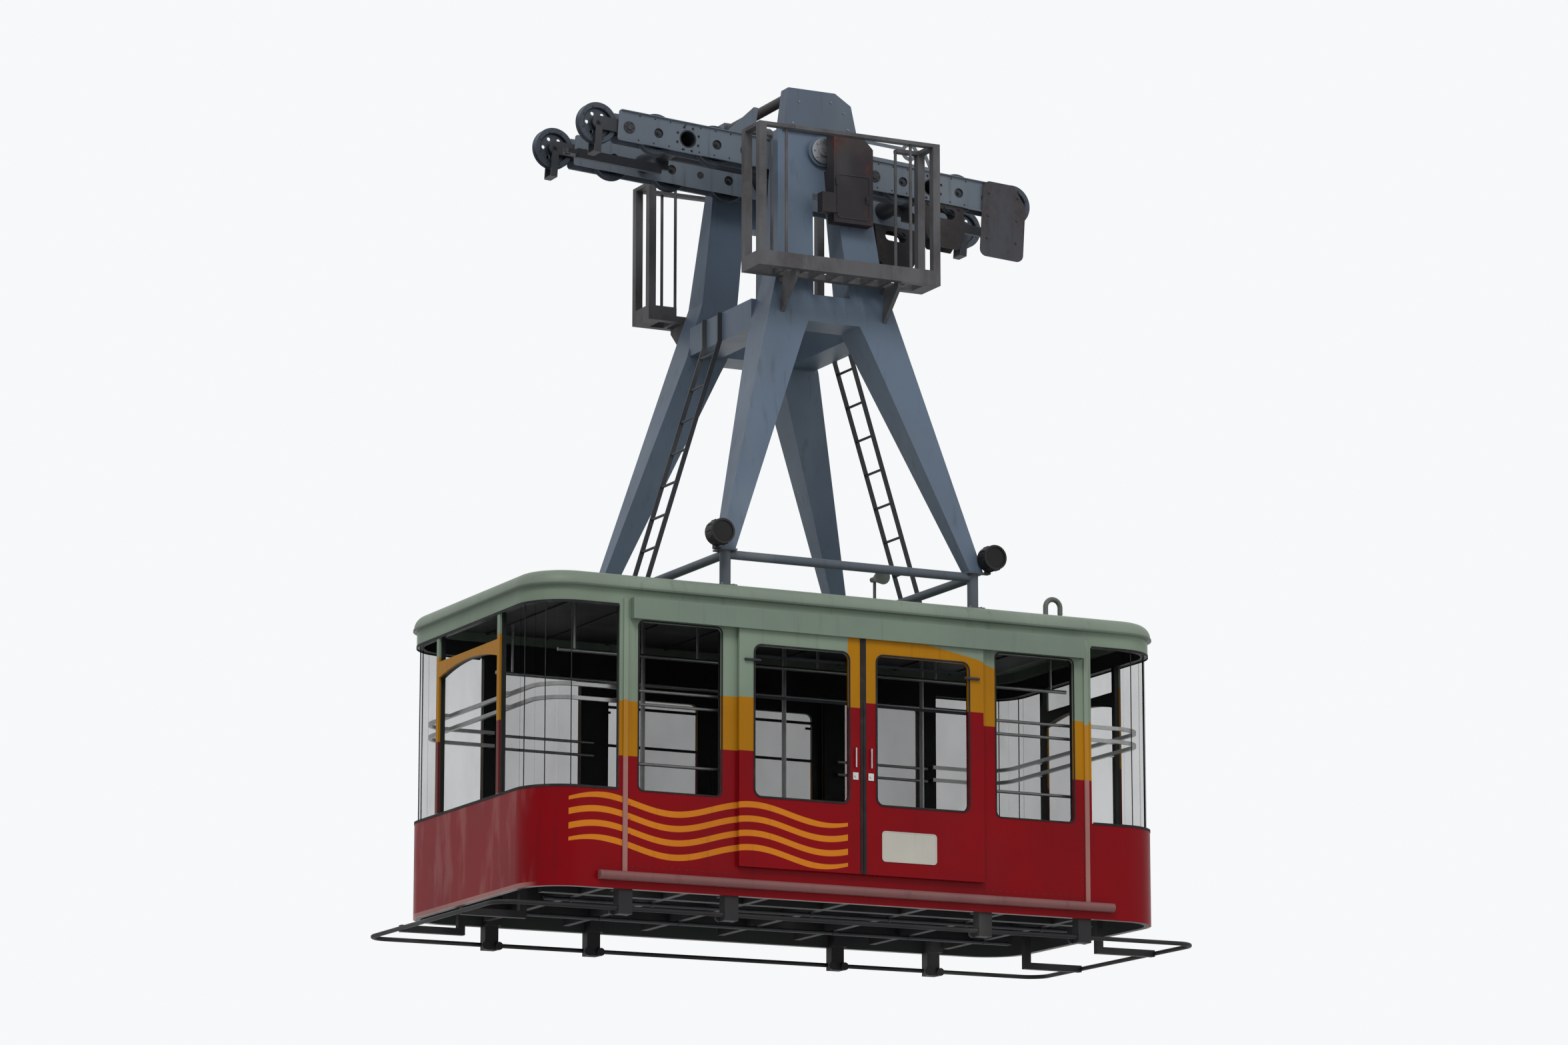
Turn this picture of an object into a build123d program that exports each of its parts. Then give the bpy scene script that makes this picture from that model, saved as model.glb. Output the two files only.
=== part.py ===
import math
import os

from build123d import *

# Reversible ropeway cabin: carriage, hanger and passenger cabin, in millimetres.
# The origin lies midway between the two track ropes, under the middle of the carriage.
# X runs along the ropes towards the end that rides lower, Z is up.

# carriage and ropes
rope_slope = 3.5
rope_gauge = 880
rope_radius = 24
tread_radius = 150
flange_height = 26
wheel_width = 84
wheel_rim = 24
tread_half = 16
wheel_web = 16
hub_radius = 52
axle_radius = 25
wheel_pitch = 540
wheel_first = 340
wheels_per_truck = 2
trucks_per_side = 4
running_fit = 0.05
seat_gap = 0.3
side_gap = 5
cheek_thickness = 10
cheek_height = 112
truck_pin_radius = 32
plate_gap = 6
beam_plate = 8
beam_end_gap = 140
beam_bottom = 52
beam_top = 316
beam_lip = 14
cross_tube_x = 1150
cross_tube_radius = 78
cross_tube_wall = 12
axle_hole_radius = 42
pivot_height = 225
pivot_radius = 75
housing_radius = 122
housing_boss = 128
draw_bar_width = 40
draw_bar_height = 80
draw_bar_reach = 2010
draw_bar_end = 1930
draw_bar_level = 34
lug_hole_radius = 26
guard_start = 1640
guard_end = 2060
guard_bottom = -340
guard_top = 326
guard_sheet = 8
catcher_width = 60
catcher_drop = 84
catcher_sheet = 12
brake_start = 1080
brake_end = 1500
brake_bottom = -330
brake_roller_level = -190
brake_roller_radius = 62
gear_rail_start = 500
gear_rail_end = 1080
gear_rail_height = 478
gear_rail_size = 30
gear_sheave_x = 930
gear_sheave_radius = 78
gear_bracket_foot = 790
gear_bracket_width = 250
gear_bracket_rise = 250
gear_bracket_tip = 230

# hanger
pivot_above_base = 6430
arm_outer = 680
arm_inner = 545
arm_splay = 0.165
arm_straight = 6200
arm_top = 6600
girder_inner = 590
girder_bottom = 4880
girder_top = 5125
leg_bottom = 2840
leg_foot_depth = 125
leg_outer_foot = 1203
leg_inner_foot = 1075
leg_outer_girder = 622
leg_outer_kink = 486
kink_level = 5350
arm_half_width = 385
arch_top = 4900
arch_half_width = 300
arch_shoulder = 4760
arch_round = 110
window_bottom = 5140
window_top = 6050
window_half_bottom = 172
window_half_top = 105
window_round = 85
cross_girder_outer = 600
cross_girder_inner = 330
hub_boss_radius = 130
hub_boss_depth = 26
cap_radius = 108
cap_depth = 18
hood_depth = 135
hood_top = 6965
hood_left = -300
hood_right = 140
hood_shoulder = 290
hood_shoulder_level = 6870
hood_base = 350
head_tube_radius = 44
head_tube_x = 250
head_tube_level = 6905
box_left = 20
box_right = 390
box_bottom = 5790
box_notch_gap = 62
box_top = 6560
box_front = 890
box_gap = 12
stub_width = 130
stub_height = 170
stub_rise = 150
stub_inset = 60
stub_depth = 90

# service platforms
deck_half_length = 810
deck_inner = 930
deck_outer = 1200
deck_level = 5250
deck_depth = 50
rail_level = 6440
post_size = 66
thin_post_radius = 13
thin_post_x = 580
slot_count = 9
slot_length = 130
slot_width = 190
bracket_size = 34
kick_height = 75
kick_sheet = 6

# ladders
ladder_width = 310
ladder_centre = 120
stringer_width = 40
stringer_depth = 14
rung_radius = 11
rung_pitch = 285
ladder_slope = 0.284

# cabin body
cabin_length = 5740
cabin_width = 2770
corner_radius = 390
wall = 60
body_top = 2400
floor_top = 250
floor_depth = 75
sill_level = 794
side_window_top = 2150
side_window_inner = 1255
side_window_outer = 1980
corner_glass_top = 2270
joint_x = 2100
mullion_y = 620
mullion_width = 50
header_bottom = 2000
header_depth = 62
header_arch = 70
door_half_opening = 1060
door_lintel = 2140
glass = 8
pane_joint = 2
roof_overhang = 25
roof_edge = 130
roof_round = 110
roof_crown = 45
roof_skin = 60
crown_inset = 350
crown_round = 100
strip_width = 40
strip_depth = 12
strip_top = 2324

# doors
leaf_width = 1113
leaf_thickness = 36
leaf_gap = 6
leaf_bottom = 236
leaf_top = 2176
leaf_window_inner = 130
leaf_window_outer = 970
leaf_window_bottom = 812
leaf_window_top = 2030
leaf_window_round = 55
leaf_seam = 2
leaf_travel = 930
hanger_x = 260
hanger_length = 90
hanger_rise = 116
track_thickness = 10
track_height = 30
track_level = 2238
fascia_half_length = 2060
fascia_bottom = 2160
fascia_top = 2330
fascia_depth = 70
fascia_sheet = 8
step_half_length = 2330
step_level = 100
step_radius = 36
step_depth = 62
grab_levels = (1500, 1610)
grab_gap = 45
grab_width = 30
grab_foot = 26

# roof frame, lamps, underside
frame_tube_radius = 37
frame_drop = 40
foot_radius = 46
foot_plate = 150
foot_plate_depth = 14
foot_x = 1139
foot_y = 1209
lamp_radius = 105
lamp_depth = 120
lamp_x = 1250
lamp_rise = 110
pipe_radius = 22
pipe_bend = 70
pipe_rise = 190
pipe_x = 2230
pipe_y = 500
pipe_end = 60
horn_y = 540
horn_rise = 250
horn_length = 150
horn_stalk_radius = 14
underframe_bottom = 30
cross_member_half = 1190
sill_pitch = 700
sill_width = 90
sill_short = 350
cross_bar_pitch = 720
cross_bar_width = 60
ring_half_length = 3170
ring_half_width = 1340
ring_level = -150
ring_radius = 18
ring_corner = 170
block_width = 120
block_depth = 100
block_bottom = -196
block_lip = 8
block_far = 2080
block_near = 1150
roller_radius = 34
roller_depth = 24
arm_bar = 56
arm_y = 620

os.makedirs("parts", exist_ok=True)

slope = math.radians(rope_slope)
along = (math.cos(slope), 0, -math.sin(slope))
normal = (math.sin(slope), 0, math.cos(slope))
half_gauge = rope_gauge / 2
axle_line = tread_radius + rope_radius
wheel_radius = tread_radius + flange_height
cheek_in = wheel_width / 2 + side_gap
cheek_out = cheek_in + cheek_thickness
plate_in = cheek_out + plate_gap
plate_out = plate_in + beam_plate
pivot_x = pivot_height * math.sin(slope)
pivot_z = pivot_height * math.cos(slope)
base_z = pivot_z - pivot_above_base
half_length = cabin_length / 2
half_width = cabin_width / 2

# Carriage planes: the deck lies along the ropes, the flank faces the -Y side.
deck = Plane(origin=(0, 0, 0), x_dir=along, z_dir=normal)
flank = Plane(origin=(0, 0, 0), x_dir=along, z_dir=(0, -1, 0))
# Hanger planes: base is the lower edge of the cabin body, side faces -Y, end faces +X.
base = Plane(origin=(pivot_x, 0, base_z))
side = Plane(origin=(pivot_x, 0, base_z), x_dir=(1, 0, 0), z_dir=(0, -1, 0))
end = Plane(origin=(pivot_x, 0, base_z), x_dir=(0, 1, 0), z_dir=(1, 0, 0))

truck_centres = []
for number in range(trucks_per_side // 2):
    first = wheel_first + wheels_per_truck * wheel_pitch * number
    truck_centres.append(first + wheel_pitch / 2)
    truck_centres.append(-first - wheel_pitch / 2)
truck_centres.sort()
wheel_places = []
for centre in truck_centres:
    wheel_places.append(centre - wheel_pitch / 2)
    wheel_places.append(centre + wheel_pitch / 2)
# The beams end short of the rope catchers on the outermost wheels.
beam_half = wheel_places[-1] - catcher_width / 2 - beam_end_gap


def finish(builder, name):
    builder.part.label = name
    export_step(builder.part, "parts/" + name + ".step")


def arm_face(level):
    return arm_outer + arm_splay * (pivot_above_base - level)


def leg_line(level):
    share = (girder_bottom - 20 - level) / (girder_bottom - 20 - leg_bottom)
    foot = arm_face(leg_bottom) - leg_foot_depth
    return girder_inner + share * (foot - girder_inner)


# carriage

# Side beams: an outer and an inner plate on each rope, open above and below for the
# wheels, with a stiff lip along each edge of the outer plate.
with BuildPart() as side_beams:
    for sign in (-1, 1):
        for start, lip in ((plate_in, beam_lip), (-plate_out, 0)):
            offset_y = sign * half_gauge + sign * start
            flat = flank.offset(-offset_y)
            with BuildSketch(flat):
                with Locations((0, (beam_top + beam_bottom) / 2)):
                    RectangleRounded(2 * beam_half, beam_top - beam_bottom, 24)
                with Locations((0, pivot_height)):
                    Circle(housing_boss)
                with Locations((0, pivot_height)):
                    Circle(housing_radius, mode=Mode.SUBTRACT)
                with Locations((-cross_tube_x, axle_line), (cross_tube_x, axle_line)):
                    Circle(cross_tube_radius, mode=Mode.SUBTRACT)
                with Locations([(x, axle_line) for x in wheel_places if abs(x) < beam_half]):
                    Circle(axle_hole_radius, mode=Mode.SUBTRACT)
                with Locations([(x, axle_line) for x in truck_centres]):
                    Circle(truck_pin_radius, mode=Mode.SUBTRACT)
            extrude(amount=-sign * beam_plate)
            if lip:
                face_y = sign * (half_gauge + plate_out)
                for level in (beam_top - beam_plate / 2, beam_bottom + beam_plate / 2):
                    with BuildSketch(flank.offset(-face_y)):
                        for x in (-1, 1):
                            with Locations((x * (beam_half + housing_boss) / 2, level)):
                                Rectangle(beam_half - housing_boss - 40, beam_plate)
                    extrude(amount=-sign * lip)
finish(side_beams, "carriage_side_beams")

# Cross frame: two cross tubes and the pivot housing tie the four plates together, and
# the draw bars for the haul rope run out from them along the middle.
with BuildPart() as cross_frame:
    reach = half_gauge + plate_out
    with BuildSketch(flank.offset(-reach)):
        with Locations((-cross_tube_x, axle_line), (cross_tube_x, axle_line)):
            Circle(cross_tube_radius)
            Circle(cross_tube_radius - cross_tube_wall, mode=Mode.SUBTRACT)
        with Locations((0, pivot_height)):
            Circle(housing_radius)
            Circle(pivot_radius + running_fit, mode=Mode.SUBTRACT)
    extrude(amount=2 * reach)
    with BuildSketch(flank.offset(-draw_bar_width / 2)):
        for sign in (-1, 1):
            inner = cross_tube_x
            with Locations((sign * (inner + draw_bar_end) / 2, draw_bar_level)):
                Rectangle(draw_bar_end - inner, draw_bar_height)
            with Locations((sign * inner, (draw_bar_level + axle_line) / 2)):
                Rectangle(cross_tube_radius * 1.5, axle_line - draw_bar_level)
            with Locations((sign * inner / 2, axle_line)):
                Rectangle(inner, draw_bar_height)
            with Locations((sign * inner, axle_line)):
                Circle(cross_tube_radius - cross_tube_wall, mode=Mode.SUBTRACT)
        with Locations((0, pivot_height)):
            Circle(housing_radius - 1, mode=Mode.SUBTRACT)
    extrude(amount=draw_bar_width)
finish(cross_frame, "carriage_cross_frame")

# Eyes for the haul rope sockets: flat lugs with an upright pin hole, on the draw bar ends.
with BuildPart() as lugs:
    with BuildSketch(deck.offset(draw_bar_level - draw_bar_width / 2)):
        for sign in (-1, 1):
            with Locations((sign * (draw_bar_end + draw_bar_reach) / 2, 0)):
                Rectangle(draw_bar_reach - draw_bar_end, draw_bar_height)
            with Locations((sign * draw_bar_reach, 0)):
                Circle(draw_bar_height / 2)
            with Locations((sign * draw_bar_reach, 0)):
                Circle(lug_hole_radius, mode=Mode.SUBTRACT)
    extrude(amount=draw_bar_width)
finish(lugs, "haul_rope_lugs")

# Two-wheel trucks: a cheek on each side of the wheels, with holes for its pin and axles.
with BuildPart() as trucks:
    for sign in (-1, 1):
        for start in (cheek_in, -cheek_out):
            with BuildSketch(flank.offset(-sign * half_gauge - start)):
                for centre in truck_centres:
                    with Locations((centre, axle_line)):
                        SlotCenterToCenter(wheel_pitch, cheek_height)
                        Circle(cheek_height * 0.62)
                        Circle(truck_pin_radius + seat_gap, mode=Mode.SUBTRACT)
                    for x in (centre - wheel_pitch / 2, centre + wheel_pitch / 2):
                        with Locations((x, axle_line)):
                            Circle(axle_radius + seat_gap, mode=Mode.SUBTRACT)
            extrude(amount=-cheek_thickness)
finish(trucks, "wheel_trucks")

# The axles and the thicker truck pins between them, which end in the beam plates.
with BuildPart() as axles:
    for sign in (-1, 1):
        with BuildSketch(flank.offset(-sign * half_gauge - cheek_out - plate_gap / 2)):
            with Locations([(x, axle_line) for x in wheel_places]):
                Circle(axle_radius)
        extrude(amount=2 * cheek_out + plate_gap)
        with BuildSketch(flank.offset(-sign * half_gauge - plate_out)):
            with Locations([(x, axle_line) for x in truck_centres]):
                Circle(truck_pin_radius - seat_gap)
        extrude(amount=2 * plate_out)
finish(axles, "wheel_axles")

# Sixteen grooved wheels: a body with hub, web and tread, and a flange ring on each side of
# the tread, so the rope runs between the two rings.
wheel_number = 0
for sign in (-1, 1):
    for x in wheel_places:
        wheel_number += 1
        name = "wheel_" + str(wheel_number)
        middle = flank.offset(-sign * half_gauge).location * Location((x, axle_line, 0))
        hub_plane = Plane(middle)
        turn = Plane(origin=hub_plane.origin, x_dir=hub_plane.x_dir, z_dir=-hub_plane.y_dir)
        half = wheel_width / 2
        ring_in = tread_radius - wheel_rim
        with BuildPart() as wheel:
            with BuildSketch(turn):
                with BuildLine():
                    Polyline(
                        (axle_radius + running_fit, -half),
                        (hub_radius, -half),
                        (hub_radius, -wheel_web / 2),
                        (ring_in, -wheel_web / 2),
                        (ring_in, -tread_half),
                        (tread_radius, -tread_half),
                        (tread_radius, tread_half),
                        (ring_in, tread_half),
                        (ring_in, wheel_web / 2),
                        (hub_radius, wheel_web / 2),
                        (hub_radius, half),
                        (axle_radius + running_fit, half),
                        close=True,
                    )
                make_face()
            revolve(axis=Axis(hub_plane.origin, hub_plane.z_dir))
            with BuildSketch(hub_plane.offset(-wheel_web / 2)):
                with PolarLocations((hub_radius + ring_in) / 2, 6):
                    Circle(17)
            extrude(amount=wheel_web, mode=Mode.SUBTRACT)
            for face in (-1, 1):
                with BuildSketch(turn):
                    with BuildLine():
                        Polyline(
                            (ring_in, face * (tread_half + seat_gap)),
                            (tread_radius, face * (tread_half + seat_gap)),
                            (wheel_radius, face * (rope_radius + 4)),
                            (wheel_radius, face * (half - 12)),
                            (wheel_radius - 8, face * (half - 6)),
                            (ring_in + 6, face * (half - 6)),
                            (ring_in, face * (half - 12)),
                            close=True,
                        )
                    make_face()
                revolve(axis=Axis(hub_plane.origin, hub_plane.z_dir))
        finish(wheel, name)

# Guard plate over the wheels at the lower end of the near rope, on the lips of its beam.
with BuildPart() as guard:
    width = guard_end - guard_start
    with BuildSketch(flank.offset(half_gauge + plate_out + beam_lip)):
        with BuildLine():
            Polyline(
                (guard_start, guard_bottom),
                (guard_end, guard_bottom),
                (guard_end, guard_top - width * 0.4),
                (guard_end - width * 0.3, guard_top),
                (guard_start + width * 0.1, guard_top),
                (guard_start, guard_top - width * 0.1),
                close=True,
            )
        make_face()
        fillet(vertices().group_by(Axis.Z)[-1], width * 0.15)
    extrude(amount=guard_sheet)
finish(guard, "end_guard")

# Rope catchers: a hook under the rope below each end wheel, hung from the cheeks.
with BuildPart() as catchers:
    for sign in (-1, 1):
        for x in (wheel_places[0], wheel_places[-1]):
            hook = Plane(
                origin=flank.offset(-sign * half_gauge).location.position,
                x_dir=(0, 1, 0),
                z_dir=along,
            )
            hook_top = axle_line - cheek_height / 2 + 24
            outer = cheek_out + catcher_sheet
            with BuildSketch(hook.offset(x - catcher_width / 2)):
                with BuildLine():
                    Polyline(
                        (-outer, hook_top),
                        (-cheek_out, hook_top),
                        (-cheek_out, -catcher_drop + catcher_sheet),
                        (cheek_out, -catcher_drop + catcher_sheet),
                        (cheek_out, hook_top),
                        (outer, hook_top),
                        (outer, -catcher_drop),
                        (-outer, -catcher_drop),
                        close=True,
                    )
                make_face()
            extrude(amount=catcher_width)
finish(catchers, "rope_catchers")

# Rope brakes below the lower half: hanger plates, a jaw block and two guide rollers a side.
with BuildPart() as brakes:
    for sign in (-1, 1):
        rope_y = sign * half_gauge
        for start in (plate_in, -plate_out):
            with BuildSketch(flank.offset(-rope_y - start)):
                with BuildLine():
                    Polyline(
                        (brake_start, beam_bottom),
                        (brake_start + 50, brake_bottom + 90),
                        (brake_start + 130, brake_bottom),
                        (brake_end - 60, brake_bottom),
                        (brake_end, brake_bottom + 110),
                        (brake_end - 30, beam_bottom),
                        close=True,
                    )
                make_face()
                with Locations(((brake_start + brake_end) / 2, -30)):
                    SlotCenterToCenter(120, 90, mode=Mode.SUBTRACT)
            extrude(amount=-beam_plate)
        with BuildSketch(flank.offset(-rope_y - plate_out)):
            for x in (brake_start + 115, brake_end - 95):
                with Locations((x, brake_roller_level)):
                    Circle(brake_roller_radius)
            with Locations(((brake_start + brake_end) / 2 + 10, brake_roller_level + 18)):
                Rectangle(70, 110)
        extrude(amount=2 * plate_out)
finish(brakes, "rope_brakes")

# Gear on top of the beams: a low rail with a guide sheave, and a bracket opposite.
bracket_edge = gear_bracket_foot - gear_bracket_width
with BuildPart() as top_gear:
    for sign in (-1, 1):
        plate_y = sign * (half_gauge + plate_in)
        with BuildSketch(flank.offset(-plate_y)):
            with BuildLine():
                Polyline(
                    (gear_rail_start, beam_top),
                    (gear_rail_start, gear_rail_height),
                    (gear_rail_end, gear_rail_height),
                    (gear_rail_end + 90, beam_top),
                    close=True,
                )
            make_face()
            offset(amount=-gear_rail_size, mode=Mode.SUBTRACT)
            with Locations((gear_sheave_x, gear_rail_height - gear_rail_size)):
                Circle(gear_sheave_radius)
                Circle(gear_sheave_radius - 32, mode=Mode.SUBTRACT)
        extrude(amount=-sign * beam_plate)
        with BuildSketch(flank.offset(-plate_y)):
            with BuildLine():
                Polyline(
                    (-gear_bracket_foot, beam_top),
                    (-gear_bracket_foot + gear_bracket_tip, beam_top + gear_bracket_rise),
                    (-bracket_edge + 20, beam_top + gear_bracket_rise),
                    (-bracket_edge, beam_top),
                    close=True,
                )
            make_face()
        extrude(amount=-sign * beam_plate)
finish(top_gear, "carriage_top_gear")

# hanger

# Each portal is one welded frame: its front view cut by its leaning, tapered end view.
with BuildPart() as portal_near:
    with BuildSketch(side.offset(arm_inner - 20)):
        with BuildLine():
            Polyline(
                (-arm_half_width, arm_top),
                (-leg_outer_kink, kink_level),
                (-leg_outer_girder, girder_bottom),
                (-leg_outer_foot, leg_bottom),
                (-leg_inner_foot, leg_bottom),
                (-arch_half_width, arch_shoulder),
                (-arch_half_width + 60, arch_top),
                (arch_half_width - 60, arch_top),
                (arch_half_width, arch_shoulder),
                (leg_inner_foot, leg_bottom),
                (leg_outer_foot, leg_bottom),
                (leg_outer_girder, girder_bottom),
                (leg_outer_kink, kink_level),
                (arm_half_width, arm_top),
                close=True,
            )
        make_face()
        arch = vertices().filter_by_position(Axis.Z, base_z + arch_top - 1, base_z + arch_top + 1)
        fillet(arch, arch_round)
        with BuildLine():
            Polyline(
                (-window_half_bottom, window_bottom),
                (window_half_bottom, window_bottom),
                (window_half_top, window_top),
                (-window_half_top, window_top),
                close=True,
            )
        make_face(mode=Mode.SUBTRACT)
        low = vertices().filter_by_position(
            Axis.Z, base_z + window_bottom - 1, base_z + window_bottom + 1
        )
        high = vertices().filter_by_position(Axis.Z, base_z + window_top - 1, base_z + window_top + 1)
        fillet(low, window_round * 1.4)
        fillet(high, window_round)
    extrude(amount=arm_face(leg_bottom))
    with BuildSketch(end.offset(-leg_outer_foot - 50)):
        with BuildLine():
            Polyline(
                (-arm_face(arm_top + 20), arm_top + 20),
                (-arm_inner, arm_top + 20),
                (-arm_inner, arm_straight),
                (-girder_inner, girder_top + 20),
                (-girder_inner, girder_bottom - 20),
                (-arm_face(leg_bottom) + leg_foot_depth, leg_bottom),
                (-arm_face(leg_bottom), leg_bottom),
                close=True,
            )
        make_face()
    extrude(amount=2 * leg_outer_foot + 100, mode=Mode.INTERSECT)
    with BuildSketch(side.offset(arm_inner)):
        with Locations((0, pivot_above_base)):
            Circle(hub_boss_radius)
    extrude(amount=arm_face(pivot_above_base - hub_boss_radius) + hub_boss_depth - arm_inner)
    with BuildSketch(side.offset(arm_inner - 10)):
        with Locations((0, pivot_above_base)):
            Circle(pivot_radius)
    extrude(amount=arm_outer, mode=Mode.SUBTRACT)
finish(portal_near, "hanger_portal_near")

with BuildPart() as portal_far:
    mirror(portal_near.part, about=Plane.XZ)
finish(portal_far, "hanger_portal_far")

with BuildPart() as cross_girders:
    with BuildSketch(base.offset(girder_bottom)):
        for sign in (-1, 1):
            with Locations((sign * (cross_girder_outer + cross_girder_inner) / 2, 0)):
                Rectangle(cross_girder_outer - cross_girder_inner, 2 * girder_inner)
    extrude(amount=girder_top - girder_bottom)
finish(cross_girders, "hanger_cross_girders")

# Head: a hood on each arm, welded to two tubes that run from hood to hood above the carriage.
with BuildPart() as head:
    for sign in (-1, 1):
        start = arm_inner if sign < 0 else -arm_inner - hood_depth
        with BuildSketch(side.offset(start)):
            with BuildLine():
                Polyline(
                    (-hood_base, arm_top),
                    (hood_left, hood_top),
                    (hood_right, hood_top),
                    (hood_shoulder, hood_shoulder_level),
                    (hood_base, arm_top),
                    close=True,
                )
            make_face()
            corners = vertices().filter_by_position(
                Axis.Z, base_z + hood_shoulder_level - 1, base_z + hood_top + 1
            )
            fillet(corners, 30)
        extrude(amount=hood_depth)
    with BuildSketch(side.offset(-arm_inner)):
        with Locations((-head_tube_x, head_tube_level), (head_tube_x - 40, head_tube_level - 60)):
            Circle(head_tube_radius)
            Circle(head_tube_radius - 8, mode=Mode.SUBTRACT)
    extrude(amount=2 * arm_inner)
finish(head, "hanger_head")

cap_seat = arm_face(pivot_above_base - hub_boss_radius) + hub_boss_depth
with BuildPart() as pivot_shaft:
    with BuildSketch(side.offset(-cap_seat)):
        with Locations((0, pivot_above_base)):
            Circle(pivot_radius)
    extrude(amount=2 * cap_seat)
    for start in (cap_seat, -cap_seat - cap_depth):
        with BuildSketch(side.offset(start)):
            with Locations((0, pivot_above_base)):
                Circle(cap_radius)
        extrude(amount=cap_depth)
finish(pivot_shaft, "pivot_shaft")

# Service platforms: a slotted deck outside each portal, with end posts and rails.
with BuildPart() as platform_near:
    depth_y = deck_outer - deck_inner
    middle_y = -(deck_outer + deck_inner) / 2
    with BuildSketch(base.offset(deck_level)):
        with Locations((0, middle_y)):
            Rectangle(2 * deck_half_length + post_size, depth_y + post_size)
        with Locations((0, middle_y)):
            with GridLocations(2 * deck_half_length / (slot_count + 1), 1, slot_count, 1):
                Rectangle(slot_length, slot_width, mode=Mode.SUBTRACT)
    extrude(amount=deck_depth)
    with BuildSketch(base.offset(deck_level + deck_depth)):
        with Locations((0, middle_y)):
            Rectangle(2 * deck_half_length + post_size, depth_y + post_size)
            Rectangle(
                2 * deck_half_length + post_size - 2 * kick_sheet,
                depth_y + post_size - 2 * kick_sheet,
                mode=Mode.SUBTRACT,
            )
        with Locations((0, middle_y + depth_y / 2)):
            Rectangle(2 * thin_post_x, post_size + 4, mode=Mode.SUBTRACT)
    extrude(amount=kick_height)
    rail_rise = rail_level - deck_level - deck_depth
    with BuildSketch(base.offset(deck_level + deck_depth)):
        with Locations((0, middle_y)):
            with GridLocations(2 * deck_half_length, depth_y, 2, 2):
                Rectangle(post_size, post_size)
            with GridLocations(2 * thin_post_x, depth_y, 2, 2):
                Circle(thin_post_radius)
    extrude(amount=rail_rise)
    with BuildSketch(base.offset(rail_level)):
        with Locations((0, middle_y)):
            Rectangle(2 * deck_half_length + post_size, depth_y + post_size)
            Rectangle(2 * deck_half_length - post_size, depth_y - post_size, mode=Mode.SUBTRACT)
        with Locations((0, middle_y + depth_y / 2)):
            Rectangle(2 * thin_post_x, post_size + 4, mode=Mode.SUBTRACT)
    extrude(amount=30)
    # raking brackets from the deck down to the legs
    for x in (-1, 1):
        foot_level = deck_level - 300
        foot_in = arm_face(foot_level)
        deck_in = arm_face(deck_level)
        with BuildSketch(end.offset(x * (leg_outer_kink - 10) - bracket_size / 2)):
            with BuildLine():
                Polyline(
                    (-deck_in, deck_level),
                    (-deck_outer, deck_level),
                    (-deck_outer, deck_level - 40),
                    (-foot_in, foot_level),
                    (-arm_face(foot_level + 60), foot_level + 60),
                    (-deck_inner - 20, deck_level - 45),
                    (-arm_face(deck_level - 45), deck_level - 45),
                    close=True,
                )
            make_face()
        extrude(amount=bracket_size)
finish(platform_near, "service_platform_near")

with BuildPart() as platform_far:
    mirror(platform_near.part, about=Plane.XZ)
finish(platform_far, "service_platform_far")

# Control box on the near arm: its back follows the leaning face, and clears the pivot cap.
box_back = cap_seat + cap_depth + box_gap
box_notch = pivot_above_base - cap_radius - box_notch_gap
with BuildPart() as control_box:
    with BuildSketch(end.offset(box_left)):
        with BuildLine():
            Polyline(
                (-arm_face(box_bottom), box_bottom),
                (-arm_face(box_notch), box_notch),
                (-box_back, box_notch),
                (-box_back, box_top),
                (-box_front, box_top),
                (-box_front, box_bottom),
                close=True,
            )
        make_face()
    extrude(amount=box_right - box_left)
    top_edge = edges().filter_by(Axis.Y).group_by(Axis.Z)[-1].sort_by(Axis.X)[-1]
    chamfer(top_edge, 110)
    with BuildSketch(side.offset(arm_face(box_bottom) + stub_inset)):
        with Locations((box_left - stub_width / 2, box_bottom + stub_rise)):
            Rectangle(stub_width, stub_height)
    extrude(amount=stub_depth)
finish(control_box, "control_box")

# Ladders on both cross girders, down to the roof.
ladder_top = girder_top
crown_top = body_top + roof_edge + roof_crown
ladder_foot = crown_top
with BuildPart() as ladders:
    for sign in (-1, 1):
        run = ladder_slope * (ladder_top - ladder_foot)
        top_x = cross_girder_outer
        for y in (-1, 1):
            level_y = ladder_centre + y * (ladder_width - stringer_depth) / 2
            with BuildSketch(side.offset(-level_y - stringer_depth / 2)):
                with BuildLine():
                    Polyline(
                        (sign * top_x, ladder_top),
                        (sign * (top_x + stringer_width), ladder_top),
                        (sign * (top_x + stringer_width), girder_bottom),
                        (sign * (top_x + run + stringer_width), ladder_foot),
                        (sign * (top_x + run), ladder_foot),
                        (sign * top_x, girder_bottom),
                        close=True,
                    )
                make_face()
            extrude(amount=stringer_depth)
        count = int((girder_bottom - ladder_foot - 120) // rung_pitch)
        rung_y = ladder_centre + ladder_width / 2 - stringer_depth - seat_gap
        with BuildSketch(side.offset(-rung_y)):
            for number in range(count + 1):
                level = girder_bottom - 100 - number * rung_pitch
                fall = (girder_bottom - level) / (girder_bottom - ladder_foot)
                rung_x = top_x + run * fall + stringer_width / 2
                with Locations((sign * rung_x, level)):
                    Circle(rung_radius)
        extrude(amount=ladder_width - 2 * stringer_depth - 2 * seat_gap)
finish(ladders, "ladders")

# roof frame

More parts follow.
